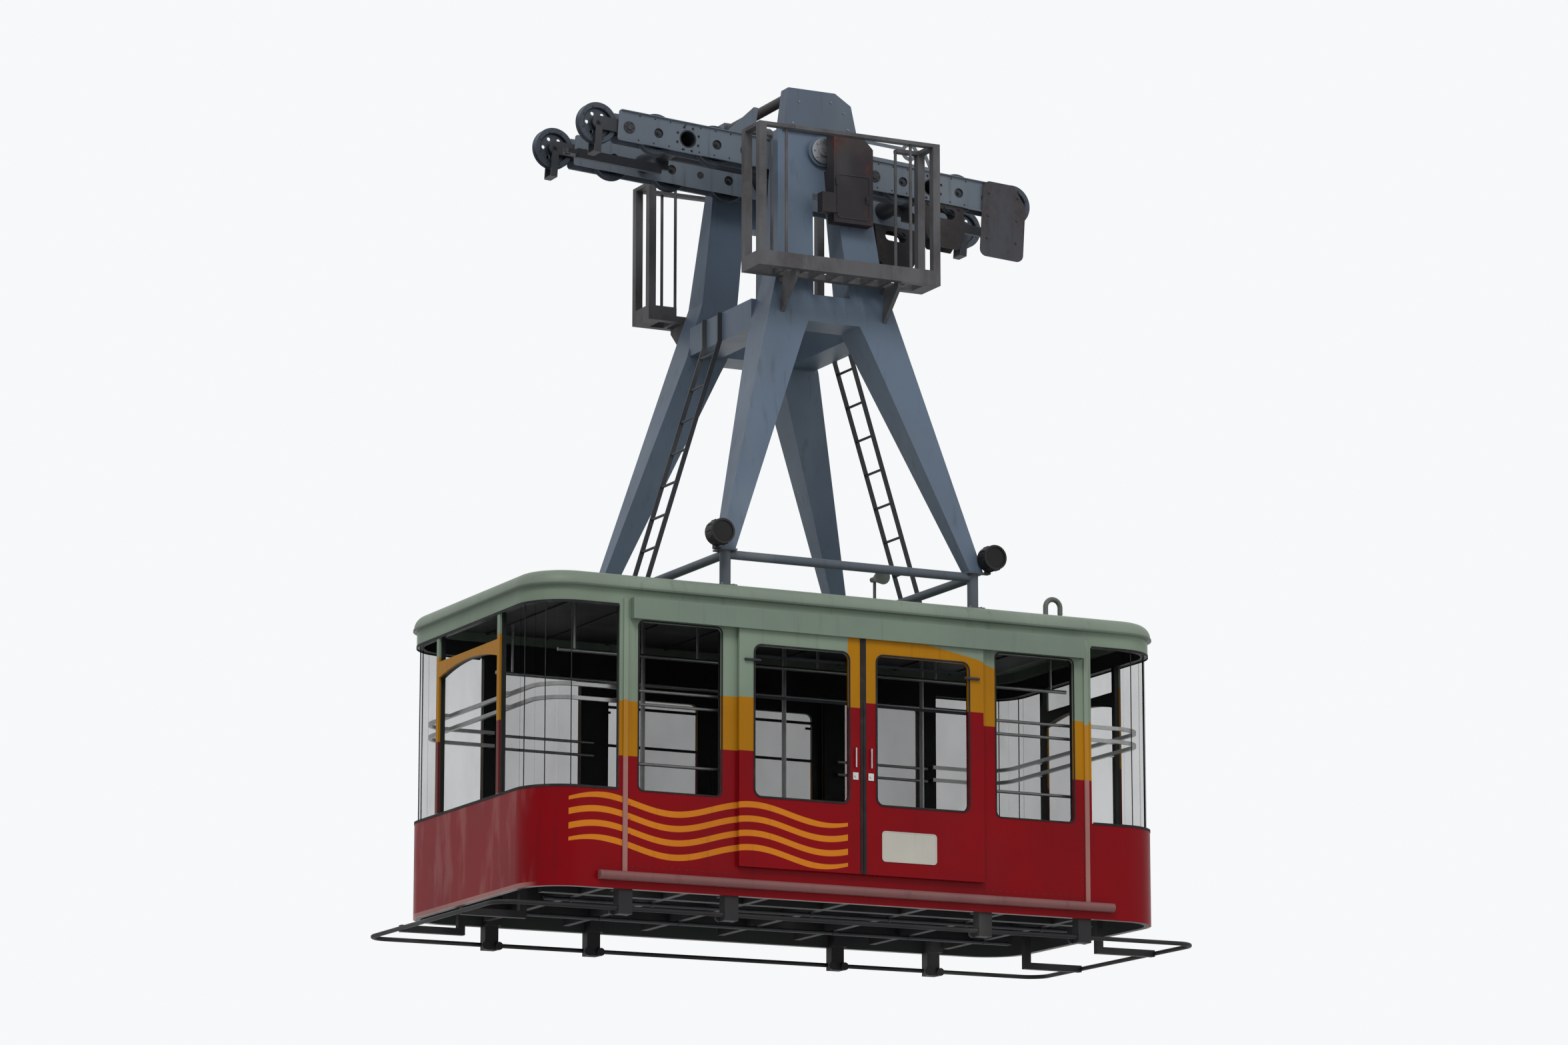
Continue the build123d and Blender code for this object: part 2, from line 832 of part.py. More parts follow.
roof_top = body_top + roof_edge
frame_level = leg_bottom - frame_drop
lamp_level = leg_bottom + lamp_rise
horn_level = leg_bottom + horn_rise
with BuildPart() as roof_frame:
    with BuildSketch(base.offset(roof_top)):
        with GridLocations(2 * foot_x, 2 * foot_y, 2, 2):
            Rectangle(foot_plate, foot_plate)
    extrude(amount=foot_plate_depth)
    with BuildSketch(base.offset(roof_top)):
        with GridLocations(2 * foot_x, 2 * foot_y, 2, 2):
            Circle(foot_radius)
    extrude(amount=leg_bottom - roof_top)
    with BuildSketch(base.offset(leg_bottom - foot_plate_depth)):
        with GridLocations(2 * foot_x, 2 * foot_y, 2, 2):
            Rectangle(foot_plate, foot_plate)
    extrude(amount=foot_plate_depth)
    with BuildSketch(side.offset(-foot_y)):
        with Locations((-foot_x, frame_level), (foot_x, frame_level)):
            Circle(frame_tube_radius)
    extrude(amount=2 * foot_y)
    with BuildSketch(end.offset(-foot_x)):
        with Locations((-foot_y, frame_level), (foot_y, frame_level)):
            Circle(frame_tube_radius)
    extrude(amount=2 * foot_x)
finish(roof_frame, "roof_frame")

with BuildPart() as floodlights:
    for sign in (-1, 1):
        plate_edge = foot_x + foot_plate / 2
        lamp_back = arm_face(leg_bottom) + side_gap
        with BuildSketch(side.offset(lamp_back)):
            with Locations((sign * lamp_x, lamp_level)):
                Circle(lamp_radius)
        extrude(amount=lamp_depth)
        with BuildSketch(side.offset(lamp_back - 45)):
            with BuildLine():
                Polyline(
                    (sign * plate_edge, leg_bottom - foot_plate_depth),
                    (sign * (lamp_x + 15), leg_bottom - foot_plate_depth),
                    (sign * (lamp_x + 15), lamp_level - lamp_radius + 30),
                    (sign * (lamp_x - 15), lamp_level - lamp_radius + 30),
                    (sign * (lamp_x - 15), leg_bottom),
                    (sign * plate_edge, leg_bottom),
                    close=True,
                )
            make_face()
        extrude(amount=60)
finish(floodlights, "floodlights")

pipe_foot = (pivot_x + pipe_x, -pipe_y, base_z + crown_top)
with BuildPart() as roof_fittings:
    with BuildLine(Plane(origin=pipe_foot, x_dir=(1, 0, 0), z_dir=(0, -1, 0))) as bend:
        Line((0, 0), (0, pipe_rise))
        ThreePointArc(
            (0, pipe_rise), (pipe_bend, pipe_rise + pipe_bend), (2 * pipe_bend, pipe_rise)
        )
        Line((2 * pipe_bend, pipe_rise), (2 * pipe_bend, pipe_rise - pipe_end))
    with BuildSketch(Plane(origin=pipe_foot)):
        Circle(pipe_radius)
    sweep(path=bend.line)
    # horn on a stalk from the roof tube frame
    horn_foot = frame_level
    with BuildSketch(base.offset(horn_foot)):
        with Locations((foot_x, horn_y)):
            Circle(horn_stalk_radius)
    extrude(amount=horn_level - horn_foot)
    with BuildSketch(Plane(origin=(pivot_x + foot_x, horn_y, base_z + horn_level), z_dir=(0, -1, 0))):
        Circle(horn_stalk_radius + 8)
    extrude(amount=-50)
    with BuildSketch(Plane(origin=(pivot_x + foot_x, horn_y, base_z + horn_level), z_dir=(0, -1, 0))):
        Circle(horn_stalk_radius + 8)
    extrude(amount=horn_length, taper=-18)
    add(roof_frame.part, mode=Mode.SUBTRACT)
finish(roof_fittings, "roof_fittings")

# cabin body

with BuildPart() as roof:
    with BuildSketch(base.offset(body_top)):
        RectangleRounded(
            cabin_length + 2 * roof_overhang,
            cabin_width + 2 * roof_overhang,
            corner_radius + roof_overhang,
        )
    extrude(amount=roof_edge)
    fillet(faces().sort_by(Axis.Z)[-1].edges(), roof_round)
    with BuildSketch(base.offset(body_top)):
        RectangleRounded(cabin_length - 4 * wall, cabin_width - 4 * wall, corner_radius - 2 * wall)
    extrude(amount=roof_edge - roof_skin, mode=Mode.SUBTRACT)
    with BuildSketch(base.offset(roof_top)):
        RectangleRounded(
            cabin_length - 2 * crown_inset,
            2 * foot_y - 2 * foot_plate,
            corner_radius - crown_round,
        )
    extrude(amount=roof_crown, taper=60)
finish(roof, "cabin_roof")

with BuildPart() as side_wall_near:
    with BuildSketch(side.offset(half_width - wall)):
        with Locations((0, body_top / 2)):
            Rectangle(2 * joint_x, body_top)
        with Locations((0, (floor_top + door_lintel) / 2)):
            Rectangle(2 * door_half_opening, door_lintel - floor_top, mode=Mode.SUBTRACT)
        window_mid = (side_window_inner + side_window_outer) / 2
        with Locations(
            (-window_mid, (sill_level + side_window_top) / 2),
            (window_mid, (sill_level + side_window_top) / 2),
        ):
            RectangleRounded(
                side_window_outer - side_window_inner,
                side_window_top - sill_level,
                40,
                mode=Mode.SUBTRACT,
            )
    extrude(amount=wall)
finish(side_wall_near, "side_wall_near")

with BuildPart() as side_wall_far:
    mirror(side_wall_near.part, about=Plane.XZ)
finish(side_wall_far, "side_wall_far")


# End shells: the rounded ends of the body, below and around the corner and end glass.
glass_start = joint_x + mullion_width
mullion_in = mullion_y - mullion_width / 2
mullion_out = mullion_y + mullion_width / 2
rise = corner_glass_top - sill_level
with BuildPart() as end_rear:
    with BuildSketch(base):
        RectangleRounded(cabin_length, cabin_width, corner_radius)
        RectangleRounded(
            cabin_length - 2 * wall,
            cabin_width - 2 * wall,
            corner_radius - wall,
            mode=Mode.SUBTRACT,
        )
        with Locations((joint_x + cabin_length, 0)):
            Rectangle(2 * cabin_length, 2 * cabin_width, mode=Mode.INTERSECT)
    extrude(amount=body_top)
    with BuildSketch(base.offset(sill_level)):
        corner_y = (mullion_out + cabin_width) / 2
        for sign in (-1, 1):
            with Locations((glass_start + half_length / 2, sign * corner_y)):
                Rectangle(half_length, cabin_width - mullion_out)
        with Locations((half_length, 0)):
            Rectangle(4 * wall, 2 * mullion_in)
    extrude(amount=rise, mode=Mode.SUBTRACT)
    with BuildSketch(base.offset(header_bottom)):
        with Locations((half_length - wall / 2, 0)):
            Rectangle(wall, 2 * mullion_in)
    extrude(amount=header_depth)
    with BuildSketch(end.offset(half_length - wall)):
        with BuildLine():
            Line((-mullion_in, header_bottom + 1), (mullion_in, header_bottom + 1))
            Line((mullion_in, header_bottom + 1), (mullion_in, header_bottom - header_arch))
            ThreePointArc(
                (mullion_in, header_bottom - header_arch),
                (0, header_bottom),
                (-mullion_in, header_bottom - header_arch),
            )
            Line((-mullion_in, header_bottom - header_arch), (-mullion_in, header_bottom + 1))
        make_face()
    extrude(amount=wall)
finish(end_rear, "end_wall_rear")

mirror_plane = Plane(origin=(pivot_x, 0, 0), z_dir=(1, 0, 0))
with BuildPart() as end_front:
    mirror(end_rear.part, about=mirror_plane)
finish(end_front, "end_wall_front")

glass_inset = (wall - glass) / 2
with BuildPart() as corner_rear:
    with BuildSketch(base.offset(sill_level)):
        RectangleRounded(
            cabin_length - 2 * glass_inset, cabin_width - 2 * glass_inset, corner_radius - glass_inset
        )
        RectangleRounded(
            cabin_length - 2 * glass_inset - 2 * glass,
            cabin_width - 2 * glass_inset - 2 * glass,
            corner_radius - glass_inset - glass,
            mode=Mode.SUBTRACT,
        )
    extrude(amount=rise)
    with BuildSketch(base.offset(sill_level)):
        for sign in (-1, 1):
            with Locations((glass_start + half_length / 2, sign * corner_y)):
                Rectangle(half_length, cabin_width - mullion_out)
    extrude(amount=rise, mode=Mode.INTERSECT)
    with BuildSketch(base.offset(sill_level)):
        for sign in (-1, 1):
            centre = (half_length - corner_radius, sign * (half_width - corner_radius))
            with Locations(centre):
                with PolarLocations(corner_radius - wall / 2, 4, 45 * sign - 45, 90, endpoint=True):
                    Rectangle(wall, pane_joint)
    extrude(amount=rise, mode=Mode.SUBTRACT)
with BuildPart() as corner_windows:
    add(corner_rear.part)
    mirror(corner_rear.part, about=mirror_plane)
finish(corner_windows, "corner_windows")

with BuildPart() as end_windows:
    for sign in (-1, 1):
        glass_x = sign * (half_length - wall / 2) - glass / 2
        with BuildSketch(end.offset(glass_x)):
            with Locations((0, (sill_level + header_bottom) / 2)):
                Rectangle(2 * mullion_in, header_bottom - sill_level)
            top_light = header_bottom + header_depth
            with Locations((0, (top_light + corner_glass_top) / 2)):
                Rectangle(2 * mullion_in, corner_glass_top - top_light)
        extrude(amount=glass)
    add(end_rear.part, mode=Mode.SUBTRACT)
    add(end_front.part, mode=Mode.SUBTRACT)
finish(end_windows, "end_windows")

with BuildPart() as side_windows:
    for sign in (-1, 1):
        glass_y = sign * (half_width - wall / 2) - glass / 2
        with BuildSketch(side.offset(glass_y)):
            with Locations(
                (-window_mid, (sill_level + side_window_top) / 2),
                (window_mid, (sill_level + side_window_top) / 2),
            ):
                RectangleRounded(
                    side_window_outer - side_window_inner, side_window_top - sill_level, 40
                )
        extrude(amount=glass)
finish(side_windows, "side_windows")

with BuildPart() as floor:
    with BuildSketch(base.offset(floor_top - floor_depth)):
        RectangleRounded(cabin_length - 2 * wall, cabin_width - 2 * wall, corner_radius - wall)
    extrude(amount=floor_depth)
finish(floor, "cabin_floor")

# Underframe: three long sills with cross bars between and outside them, inside the skirt.
floor_bottom = floor_top - floor_depth
with BuildPart() as underframe:
    with BuildSketch(base.offset(underframe_bottom)):
        with GridLocations(cross_bar_pitch, 1, 7, 1):
            Rectangle(cross_bar_width, 2 * cross_member_half)
        with GridLocations(1, sill_pitch, 1, 3):
            Rectangle(cabin_length, sill_width + 2 * seat_gap, mode=Mode.SUBTRACT)
            Rectangle(cabin_length - 2 * sill_short, sill_width)
    extrude(amount=floor_bottom - underframe_bottom)
finish(underframe, "underframe")

strip_bottom = step_level + step_radius + seat_gap

with BuildPart() as strips:
    for sign in (-1, 1):
        start = half_width if sign < 0 else -half_width - strip_depth
        with BuildSketch(side.offset(start)):
            for x in (-joint_x, joint_x):
                with Locations((x, (strip_bottom + strip_top) / 2)):
                    Rectangle(strip_width, strip_top - strip_bottom)
        extrude(amount=strip_depth)
finish(strips, "joint_strips")

# Door gear: the fascia with its track above, and the step rail below.
leaf_in = half_width + leaf_gap
leaf_out = leaf_in + leaf_thickness
track_y = (leaf_in + leaf_out) / 2
with BuildPart() as fascia_near:
    with BuildSketch(end.offset(-fascia_half_length)):
        with BuildLine():
            Polyline(
                (-half_width, fascia_top),
                (-half_width - fascia_depth, fascia_top),
                (-half_width - fascia_depth, fascia_bottom),
                (-half_width - fascia_depth + fascia_sheet, fascia_bottom),
                (-half_width - fascia_depth + fascia_sheet, fascia_top - fascia_sheet),
                (-half_width, fascia_top - fascia_sheet),
                close=True,
            )
        make_face()
        with Locations((-track_y, track_level + track_height / 2)):
            Rectangle(track_thickness, track_height)
    extrude(amount=2 * fascia_half_length)
    with BuildSketch(side.offset(half_width)):
        for x in (-fascia_half_length, fascia_half_length - fascia_sheet):
            with Locations((x + fascia_sheet / 2, (fascia_bottom + fascia_top) / 2)):
                Rectangle(fascia_sheet, fascia_top - fascia_bottom)
    extrude(amount=fascia_depth)
with BuildPart() as door_fascias:
    add(fascia_near.part)
    mirror(fascia_near.part, about=Plane.XZ)
finish(door_fascias, "door_fascias")

with BuildPart() as step_near:
    with BuildSketch(end.offset(-step_half_length)):
        with Locations((-half_width - (step_depth - step_radius) / 2, step_level)):
            Rectangle(step_depth - step_radius, 2 * step_radius)
        with Locations((-half_width - step_depth + step_radius, step_level)):
            Circle(step_radius)
        with Locations((-half_width + step_radius, step_level)):
            Rectangle(2 * step_radius, 4 * step_radius, mode=Mode.SUBTRACT)
    extrude(amount=2 * step_half_length)
with BuildPart() as step_rails:
    add(step_near.part)
    mirror(step_near.part, about=Plane.XZ)
finish(step_rails, "step_rails")

# Grab rails inside the glass at both ends and across the side windows.
grab_reach = grab_gap + 3
with BuildPart() as rails_rear:
    for level in grab_levels:
        with BuildSketch(base.offset(level)):
            inset = wall + grab_gap
            RectangleRounded(cabin_length - 2 * inset, cabin_width - 2 * inset, corner_radius - inset)
            RectangleRounded(
                cabin_length - 2 * inset - 2 * grab_width,
                cabin_width - 2 * inset - 2 * grab_width,
                corner_radius - inset - grab_width,
                mode=Mode.SUBTRACT,
            )
            with Locations((joint_x - 20 + cabin_length, 0)):
                Rectangle(2 * cabin_length, 2 * cabin_width, mode=Mode.INTERSECT)
        extrude(amount=grab_width)
        with BuildSketch(base.offset(level)):
            for y in (-mullion_y, mullion_y):
                with Locations((half_length - wall - grab_reach / 2, y)):
                    Rectangle(grab_reach, grab_foot)
            for y in (-1, 1):
                with Locations((joint_x, y * (half_width - wall - grab_reach / 2))):
                    Rectangle(grab_foot, grab_reach)
        extrude(amount=grab_width)
with BuildPart() as grab_rails:
    add(rails_rear.part)
    mirror(rails_rear.part, about=mirror_plane)
finish(grab_rails, "grab_rails")

# Bumper frame below the body: a tube ring, its hanging blocks with rollers, and end arms.
with BuildSketch(base.offset(ring_level)) as ring_outline:
    RectangleRounded(2 * ring_half_length, 2 * ring_half_width, ring_corner)
ring_path = ring_outline.sketch.face().outer_wire()
with BuildPart() as bumper:
    with BuildSketch(Plane(origin=ring_path @ 0, z_dir=ring_path % 0)):
        Circle(ring_radius)
    sweep(path=ring_path)
    with BuildSketch(base.offset(block_bottom)):
        block_y = ring_half_width - block_depth / 2 + ring_radius + block_lip
        for x in (-block_far, -block_near, block_near, block_far):
            for y in (-block_y, block_y):
                with Locations((x, y)):
                    Rectangle(block_width, block_depth)
    extrude(amount=-block_bottom)
    with BuildSketch(base):
        for x in (-block_far, -block_near, block_near, block_far):
            for sign in (-1, 1):
                with Locations((x, sign * (half_width - wall - block_width / 2))):
                    Rectangle(block_width, block_width)
    extrude(amount=floor_bottom)
    for sign in (-1, 1):
        roller_y = sign * (block_y - block_depth / 2 - roller_depth / 2) + roller_depth / 2
        with BuildSketch(side.offset(-roller_y)):
            for x in (-block_far, -block_near, block_near, block_far):
                for edge in (-block_width / 2, block_width / 2):
                    with Locations((x + edge, block_bottom + roller_radius)):
                        Circle(roller_radius)
        extrude(amount=roller_depth)
    for y in (-arm_y, arm_y):
        for sign in (-1, 1):
            with BuildSketch(side.offset(-y - arm_bar / 2)):
                with BuildLine():
                    Polyline(
                        (sign * ring_half_length, ring_level + arm_bar / 2),
                        (sign * ring_half_length, ring_level - arm_bar / 2),
                        (sign * (half_length - 260), ring_level - arm_bar / 2),
                        (sign * (half_length - 260), floor_bottom),
                        (sign * (half_length - 200), floor_bottom),
                        (sign * (half_length - 200), ring_level + arm_bar / 2),
                        close=True,
                    )
                make_face()
            extrude(amount=arm_bar)
finish(bumper, "bumper_frame")

# door leaves

leaf_names = {
    ("near", 1): "door_leaf_near_rear",
    ("near", -1): "door_leaf_near_front",
    ("far", 1): "door_leaf_far_rear",
    ("far", -1): "door_leaf_far_front",
}
with BuildPart() as leaf_master:
    with BuildSketch(side.offset(leaf_in)):
        with Locations((leaf_seam + leaf_width / 2, (leaf_bottom + leaf_top) / 2)):
            Rectangle(leaf_width, leaf_top - leaf_bottom)
        window_w = leaf_window_outer - leaf_window_inner
        window_h = leaf_window_top - leaf_window_bottom
        window_at = (
            (leaf_window_inner + leaf_window_outer) / 2,
            (leaf_window_bottom + leaf_window_top) / 2,
        )
        with Locations(window_at):
            RectangleRounded(window_w, window_h, leaf_window_round, mode=Mode.SUBTRACT)
    extrude(amount=leaf_thickness)
    hanger_middle = leaf_seam + leaf_width / 2
    for x in (hanger_middle - hanger_x, hanger_middle + hanger_x):
        with BuildSketch(end.offset(x - hanger_length / 2)):
            with Locations((-track_y, leaf_top + hanger_rise / 2)):
                Rectangle(track_thickness + 16, hanger_rise)
            slot_low = track_level - 6
            slot_high = track_level + track_height + seat_gap
            with Locations((-track_y, (slot_low + slot_high) / 2)):
                Rectangle(track_thickness + 2 * seat_gap, slot_high - slot_low, mode=Mode.SUBTRACT)
            with Locations((-track_y - track_thickness, (slot_low + leaf_top) / 2 + 20)):
                Rectangle(2 * track_thickness, 20, mode=Mode.SUBTRACT)
        extrude(amount=hanger_length)
with BuildPart() as pane_master:
    with BuildSketch(side.offset((leaf_in + leaf_out) / 2 - glass / 2)):
        with Locations(window_at):
            RectangleRounded(window_w, window_h, leaf_window_round)
    extrude(amount=glass)
for key in leaf_names:
    name = leaf_names[key]
    for master, suffix in ((leaf_master, ""), (pane_master, "_glass")):
        with BuildPart() as leaf:
            shape = master.part
            if key[1] < 0:
                shape = shape.mirror(mirror_plane)
            if key[0] == "far":
                shape = shape.mirror(Plane.XZ)
            add(shape)
        finish(leaf, name + suffix)

for path in sorted(os.listdir("parts")):
    print(path)
print("pivot", round(pivot_x, 3), round(pivot_z, 3), "base", round(base_z, 3))
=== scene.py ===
import math

import bmesh
import bpy
from mathutils import Matrix, Vector


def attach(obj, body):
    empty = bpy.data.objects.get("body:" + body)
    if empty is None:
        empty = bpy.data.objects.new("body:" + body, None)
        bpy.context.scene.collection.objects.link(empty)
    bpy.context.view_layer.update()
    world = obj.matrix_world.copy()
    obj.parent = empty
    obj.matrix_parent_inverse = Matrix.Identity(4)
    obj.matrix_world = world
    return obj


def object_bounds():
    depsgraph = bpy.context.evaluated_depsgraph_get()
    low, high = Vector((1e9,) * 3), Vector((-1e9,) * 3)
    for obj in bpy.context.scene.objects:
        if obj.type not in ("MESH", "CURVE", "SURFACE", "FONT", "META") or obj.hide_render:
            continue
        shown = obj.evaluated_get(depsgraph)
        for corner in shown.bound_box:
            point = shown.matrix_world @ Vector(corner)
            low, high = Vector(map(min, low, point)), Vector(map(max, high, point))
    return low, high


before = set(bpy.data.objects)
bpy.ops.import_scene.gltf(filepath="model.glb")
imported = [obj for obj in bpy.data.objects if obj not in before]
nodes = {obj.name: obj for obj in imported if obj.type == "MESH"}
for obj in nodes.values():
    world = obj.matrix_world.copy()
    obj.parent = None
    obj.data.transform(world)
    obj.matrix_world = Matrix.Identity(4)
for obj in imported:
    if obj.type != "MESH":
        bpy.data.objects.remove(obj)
cad_lo, cad_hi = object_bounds()

# The driving sizes of the part, in metres: DECK is the carriage's own frame, tilted with
# the ropes, and CAB the frame of the hanger and cabin, with the body's lower edge at 0.
TILT = math.radians(3.5)
PIVOT_HEIGHT = 0.225
PIVOT_LEVEL = 6.43
PIVOT = Vector((PIVOT_HEIGHT * math.sin(TILT), 0.0, PIVOT_HEIGHT * math.cos(TILT)))
BASE = PIVOT - Vector((0, 0, PIVOT_LEVEL))
DECK = Matrix.Rotation(TILT, 4, "Y")
CAB = Matrix.Translation(BASE)

HALF_GAUGE = 0.44
AXLE_LINE = 0.174
BEAM_FACE = HALF_GAUGE + 0.071
AXLE_END = 0.060
FLANGE_FACE = 0.036
WHEELS = (-1.96, -1.42, -0.88, -0.34, 0.34, 0.88, 1.42, 1.96)
TRUCKS = (-1.69, -0.61, 0.61, 1.69)
CROSS_TUBES = (-1.15, 1.15)
RIVET_ROWS = (0.288, 0.080)
GUARD_FACE = 0.533

HALF_L, HALF_W, CORNER = 2.87, 1.385, 0.39
BODY_TOP = 2.40
SILL = 0.794
CORNER_TOP = 2.27
JOINT_X = 2.1
LEAF_FACE = 1.427
MULLION_Y = 0.66
MULLION_SPAN, MULLION_SPLIT = (0.81, 2.1), 1.4
CAP_FACE, HOOD_FACE, HOOD_INNER = 0.7455, 0.68, 0.543
# Bolts on each hood: place along the cabin, height.
HOOD_BOLTS = ((-0.2, 6.85), (0.1, 6.88), (-0.26, 6.66), (0.26, 6.66), (0.22, 6.8))
LAMP_X, LAMP_FACE, LAMP_Z = 1.25, 1.397, 2.95
POST_X, POST_Y, POST_PLATE = 1.139, 1.209, 2.544
ROOF_L, ROOF_W, ROOF_CORNER, CROWN = 5.78, 2.81, 0.41, 2.574
CEILING = 2.44
BOX_X, BOX_Z, BOX_FACE = 0.205, 6.02, 0.890
# Window openings: place along the side, height of the centre, width, height.
SIDE_WINDOW = (1.6175, 1.472, 0.725, 1.356)
LEAF_WINDOW = (0.552, 1.421, 0.84, 1.218)
HANDLE_X = 0.07
LATCH_Z = 1.91
CONDUIT_Z = 0.014


class Nodes:
    """A material's node tree, with short calls for the nodes used here."""

    def __init__(self, name):
        self.mat = bpy.data.materials.new(name)
        self.mat.use_nodes = True
        self.tree = self.mat.node_tree
        self.shader = self.tree.nodes["Principled BSDF"]
        self.coord = self.tree.nodes.new("ShaderNodeTexCoord").outputs["Object"]

    def put(self, socket, value):
        if isinstance(value, bpy.types.NodeSocket):
            self.tree.links.new(value, socket)
        else:
            socket.default_value = value

    def math(self, kind, a, b=0.0, clamp=False):
        node = self.tree.nodes.new("ShaderNodeMath")
        node.operation = kind
        node.use_clamp = clamp
        self.put(node.inputs[0], a)
        self.put(node.inputs[1], b)
        return node.outputs[0]

    def both(self, *masks):
        out = masks[0]
        for mask in masks[1:]:
            out = self.math("MULTIPLY", out, mask)
        return out

    def between(self, value, low, high):
        return self.both(self.math("GREATER_THAN", value, low), self.math("LESS_THAN", value, high))

    def mix(self, factor, a, b):
        node = self.tree.nodes.new("ShaderNodeMix")
        node.data_type = "RGBA"
        self.put(node.inputs[0], factor)
        self.put(node.inputs[6], a)
        self.put(node.inputs[7], b)
        return node.outputs[2]

    def ramp(self, value, low, high):
        node = self.tree.nodes.new("ShaderNodeMapRange")
        node.interpolation_type = "SMOOTHSTEP"
        self.put(node.inputs["Value"], value)
        node.inputs["From Min"].default_value = low
        node.inputs["From Max"].default_value = high
        return node.outputs["Result"]

    def edge(self, value, level):
        return self.ramp(value, level - 0.002, level + 0.002)

    def noise(self, scale, stretch=(1, 1, 1), detail=4.0, rough=0.55):
        mapping = self.tree.nodes.new("ShaderNodeMapping")
        mapping.inputs["Scale"].default_value = stretch
        self.tree.links.new(self.coord, mapping.inputs["Vector"])
        node = self.tree.nodes.new("ShaderNodeTexNoise")
        node.inputs["Scale"].default_value = scale
        node.inputs["Detail"].default_value = detail
        node.inputs["Roughness"].default_value = rough
        self.tree.links.new(mapping.outputs["Vector"], node.inputs["Vector"])
        return node.outputs["Fac"]

    def bump(self, height, strength, distance=0.002):
        node = self.tree.nodes.new("ShaderNodeBump")
        node.inputs["Strength"].default_value = strength
        node.inputs["Distance"].default_value = distance
        self.tree.links.new(height, node.inputs["Height"])
        self.tree.links.new(node.outputs["Normal"], self.shader.inputs["Normal"])

    def set(self, **values):
        for key, value in values.items():
            self.put(self.shader.inputs[key.replace("_", " ")], value)

    def place(self):
        """The shaded point in the cabin's frame: x, y and the height over the lower edge."""
        split = self.tree.nodes.new("ShaderNodeSeparateXYZ")
        self.tree.links.new(self.coord, split.inputs[0])
        x = self.math("SUBTRACT", split.outputs["X"], BASE.x)
        z = self.math("SUBTRACT", split.outputs["Z"], BASE.z)
        return x, split.outputs["Y"], z

    def along(self, x, y):
        """The place along a side, from left to right as seen from outside."""
        return self.math("MULTIPLY", x, self.math("MULTIPLY", self.math("SIGN", y), -1.0))


def rgb(r, g, b):
    def lin(c):
        c = c / 255
        return c / 12.92 if c <= 0.04045 else ((c + 0.055) / 1.055) ** 2.4

    return (lin(r), lin(g), lin(b), 1.0)


def weathered(n, color, streak=0.25, chips=0.12, grime=(38, 34, 32), rust=(82, 52, 40), fade=0.06):
    """Slight tone drift, rain streaks and small chips over a coat of paint."""
    drift = n.ramp(n.noise(1.3, detail=3.0), 0.35, 0.7)
    out = n.mix(n.math("MULTIPLY", drift, 0.16), color, rgb(*grime))
    faded = n.ramp(n.noise(0.8, (1.3, 1.3, 0.8), detail=3.0), 0.5, 0.8)
    out = n.mix(n.math("MULTIPLY", faded, fade), out, rgb(226, 228, 222))
    runs = n.ramp(n.noise(11.0, (1.6, 1.6, 0.1), detail=5.0), 0.54, 0.8)
    out = n.mix(n.math("MULTIPLY", runs, streak), out, rgb(*grime))
    spots = n.ramp(n.noise(34.0, detail=6.0, rough=0.7), 0.66, 0.72)
    return n.mix(n.math("MULTIPLY", spots, chips), out, rgb(*rust))


def coat(n, rough, spread=0.12, grain=260.0, bump=0.06, shine=0.25):
    patch = n.noise(6.0, detail=5.0)
    n.set(Roughness=n.math("ADD", n.math("MULTIPLY", patch, spread), rough - spread / 2))
    n.set(Specular_IOR_Level=shine)
    n.bump(n.noise(grain, detail=2.0), bump)


def painted(name, color, rough=0.45, streak=0.25, chips=0.12, grime=(38, 34, 32), rust=(82, 52, 40)):
    n = Nodes(name)
    n.set(Base_Color=weathered(n, rgb(*color), streak, chips, grime, rust))
    coat(n, rough)
    return n.mat


def rusted(name, color, rust, share, rough=0.62, low=0.42, high=0.62):
    """Paint that has gone to rust in patches that run down from above."""
    n = Nodes(name)
    body = weathered(n, rgb(*color), 0.35, 0.3, rust=rust)
    patch = n.ramp(n.noise(3.4, (1, 1, 0.45), detail=8.0, rough=0.65), low, high)
    fine = n.ramp(n.noise(22.0, detail=6.0, rough=0.7), 0.35, 0.7)
    dark_rust = n.mix(fine, rgb(*rust), rgb(*[c * 0.55 for c in rust]))
    n.set(Base_Color=n.mix(n.math("MULTIPLY", patch, share), body, dark_rust))
    coat(n, rough, 0.2, 120.0, 0.12, 0.2)
    return n.mat


def stepped_line(n, value, low, high, points):
    """A height that follows straight runs between (position, height) points."""
    node = n.tree.nodes.new("ShaderNodeFloatCurve")
    line = node.mapping.curves[0]
    heights = [height for _, height in points]
    foot, span = min(heights), max(heights) - min(heights)
    spots = [((x - low) / (high - low), (height - foot) / span) for x, height in points]
    line.points[0].location = spots[0]
    line.points[1].location = spots[-1]
    for spot in spots[1:-1]:
        line.points.new(*spot)
    for point in line.points:
        point.handle_type = "VECTOR"
    node.mapping.update()
    share = n.math("DIVIDE", n.math("SUBTRACT", value, low), high - low, clamp=True)
    n.put(node.inputs["Value"], share)
    return n.math("ADD", n.math("MULTIPLY", node.outputs[0], span), foot)


SAGE = (119, 134, 117)
RED = (120, 2, 12)
GOLD = (160, 108, 8)
RUST_RED = (92, 30, 26)
# Grey of the inner lining, darkened to paint the shade inside the cabin.
LINING_AND_SHADE = (48, 50, 49)

# The gold band's lower edge steps from panel to panel: (place along the side, step).
GOLD_START = 1.06
GOLD_STEPS = ((-1.97, 0.11), (-0.5, 0.42), (0.0, 0.045), (1.1127, -0.1), (1.32, -0.385))
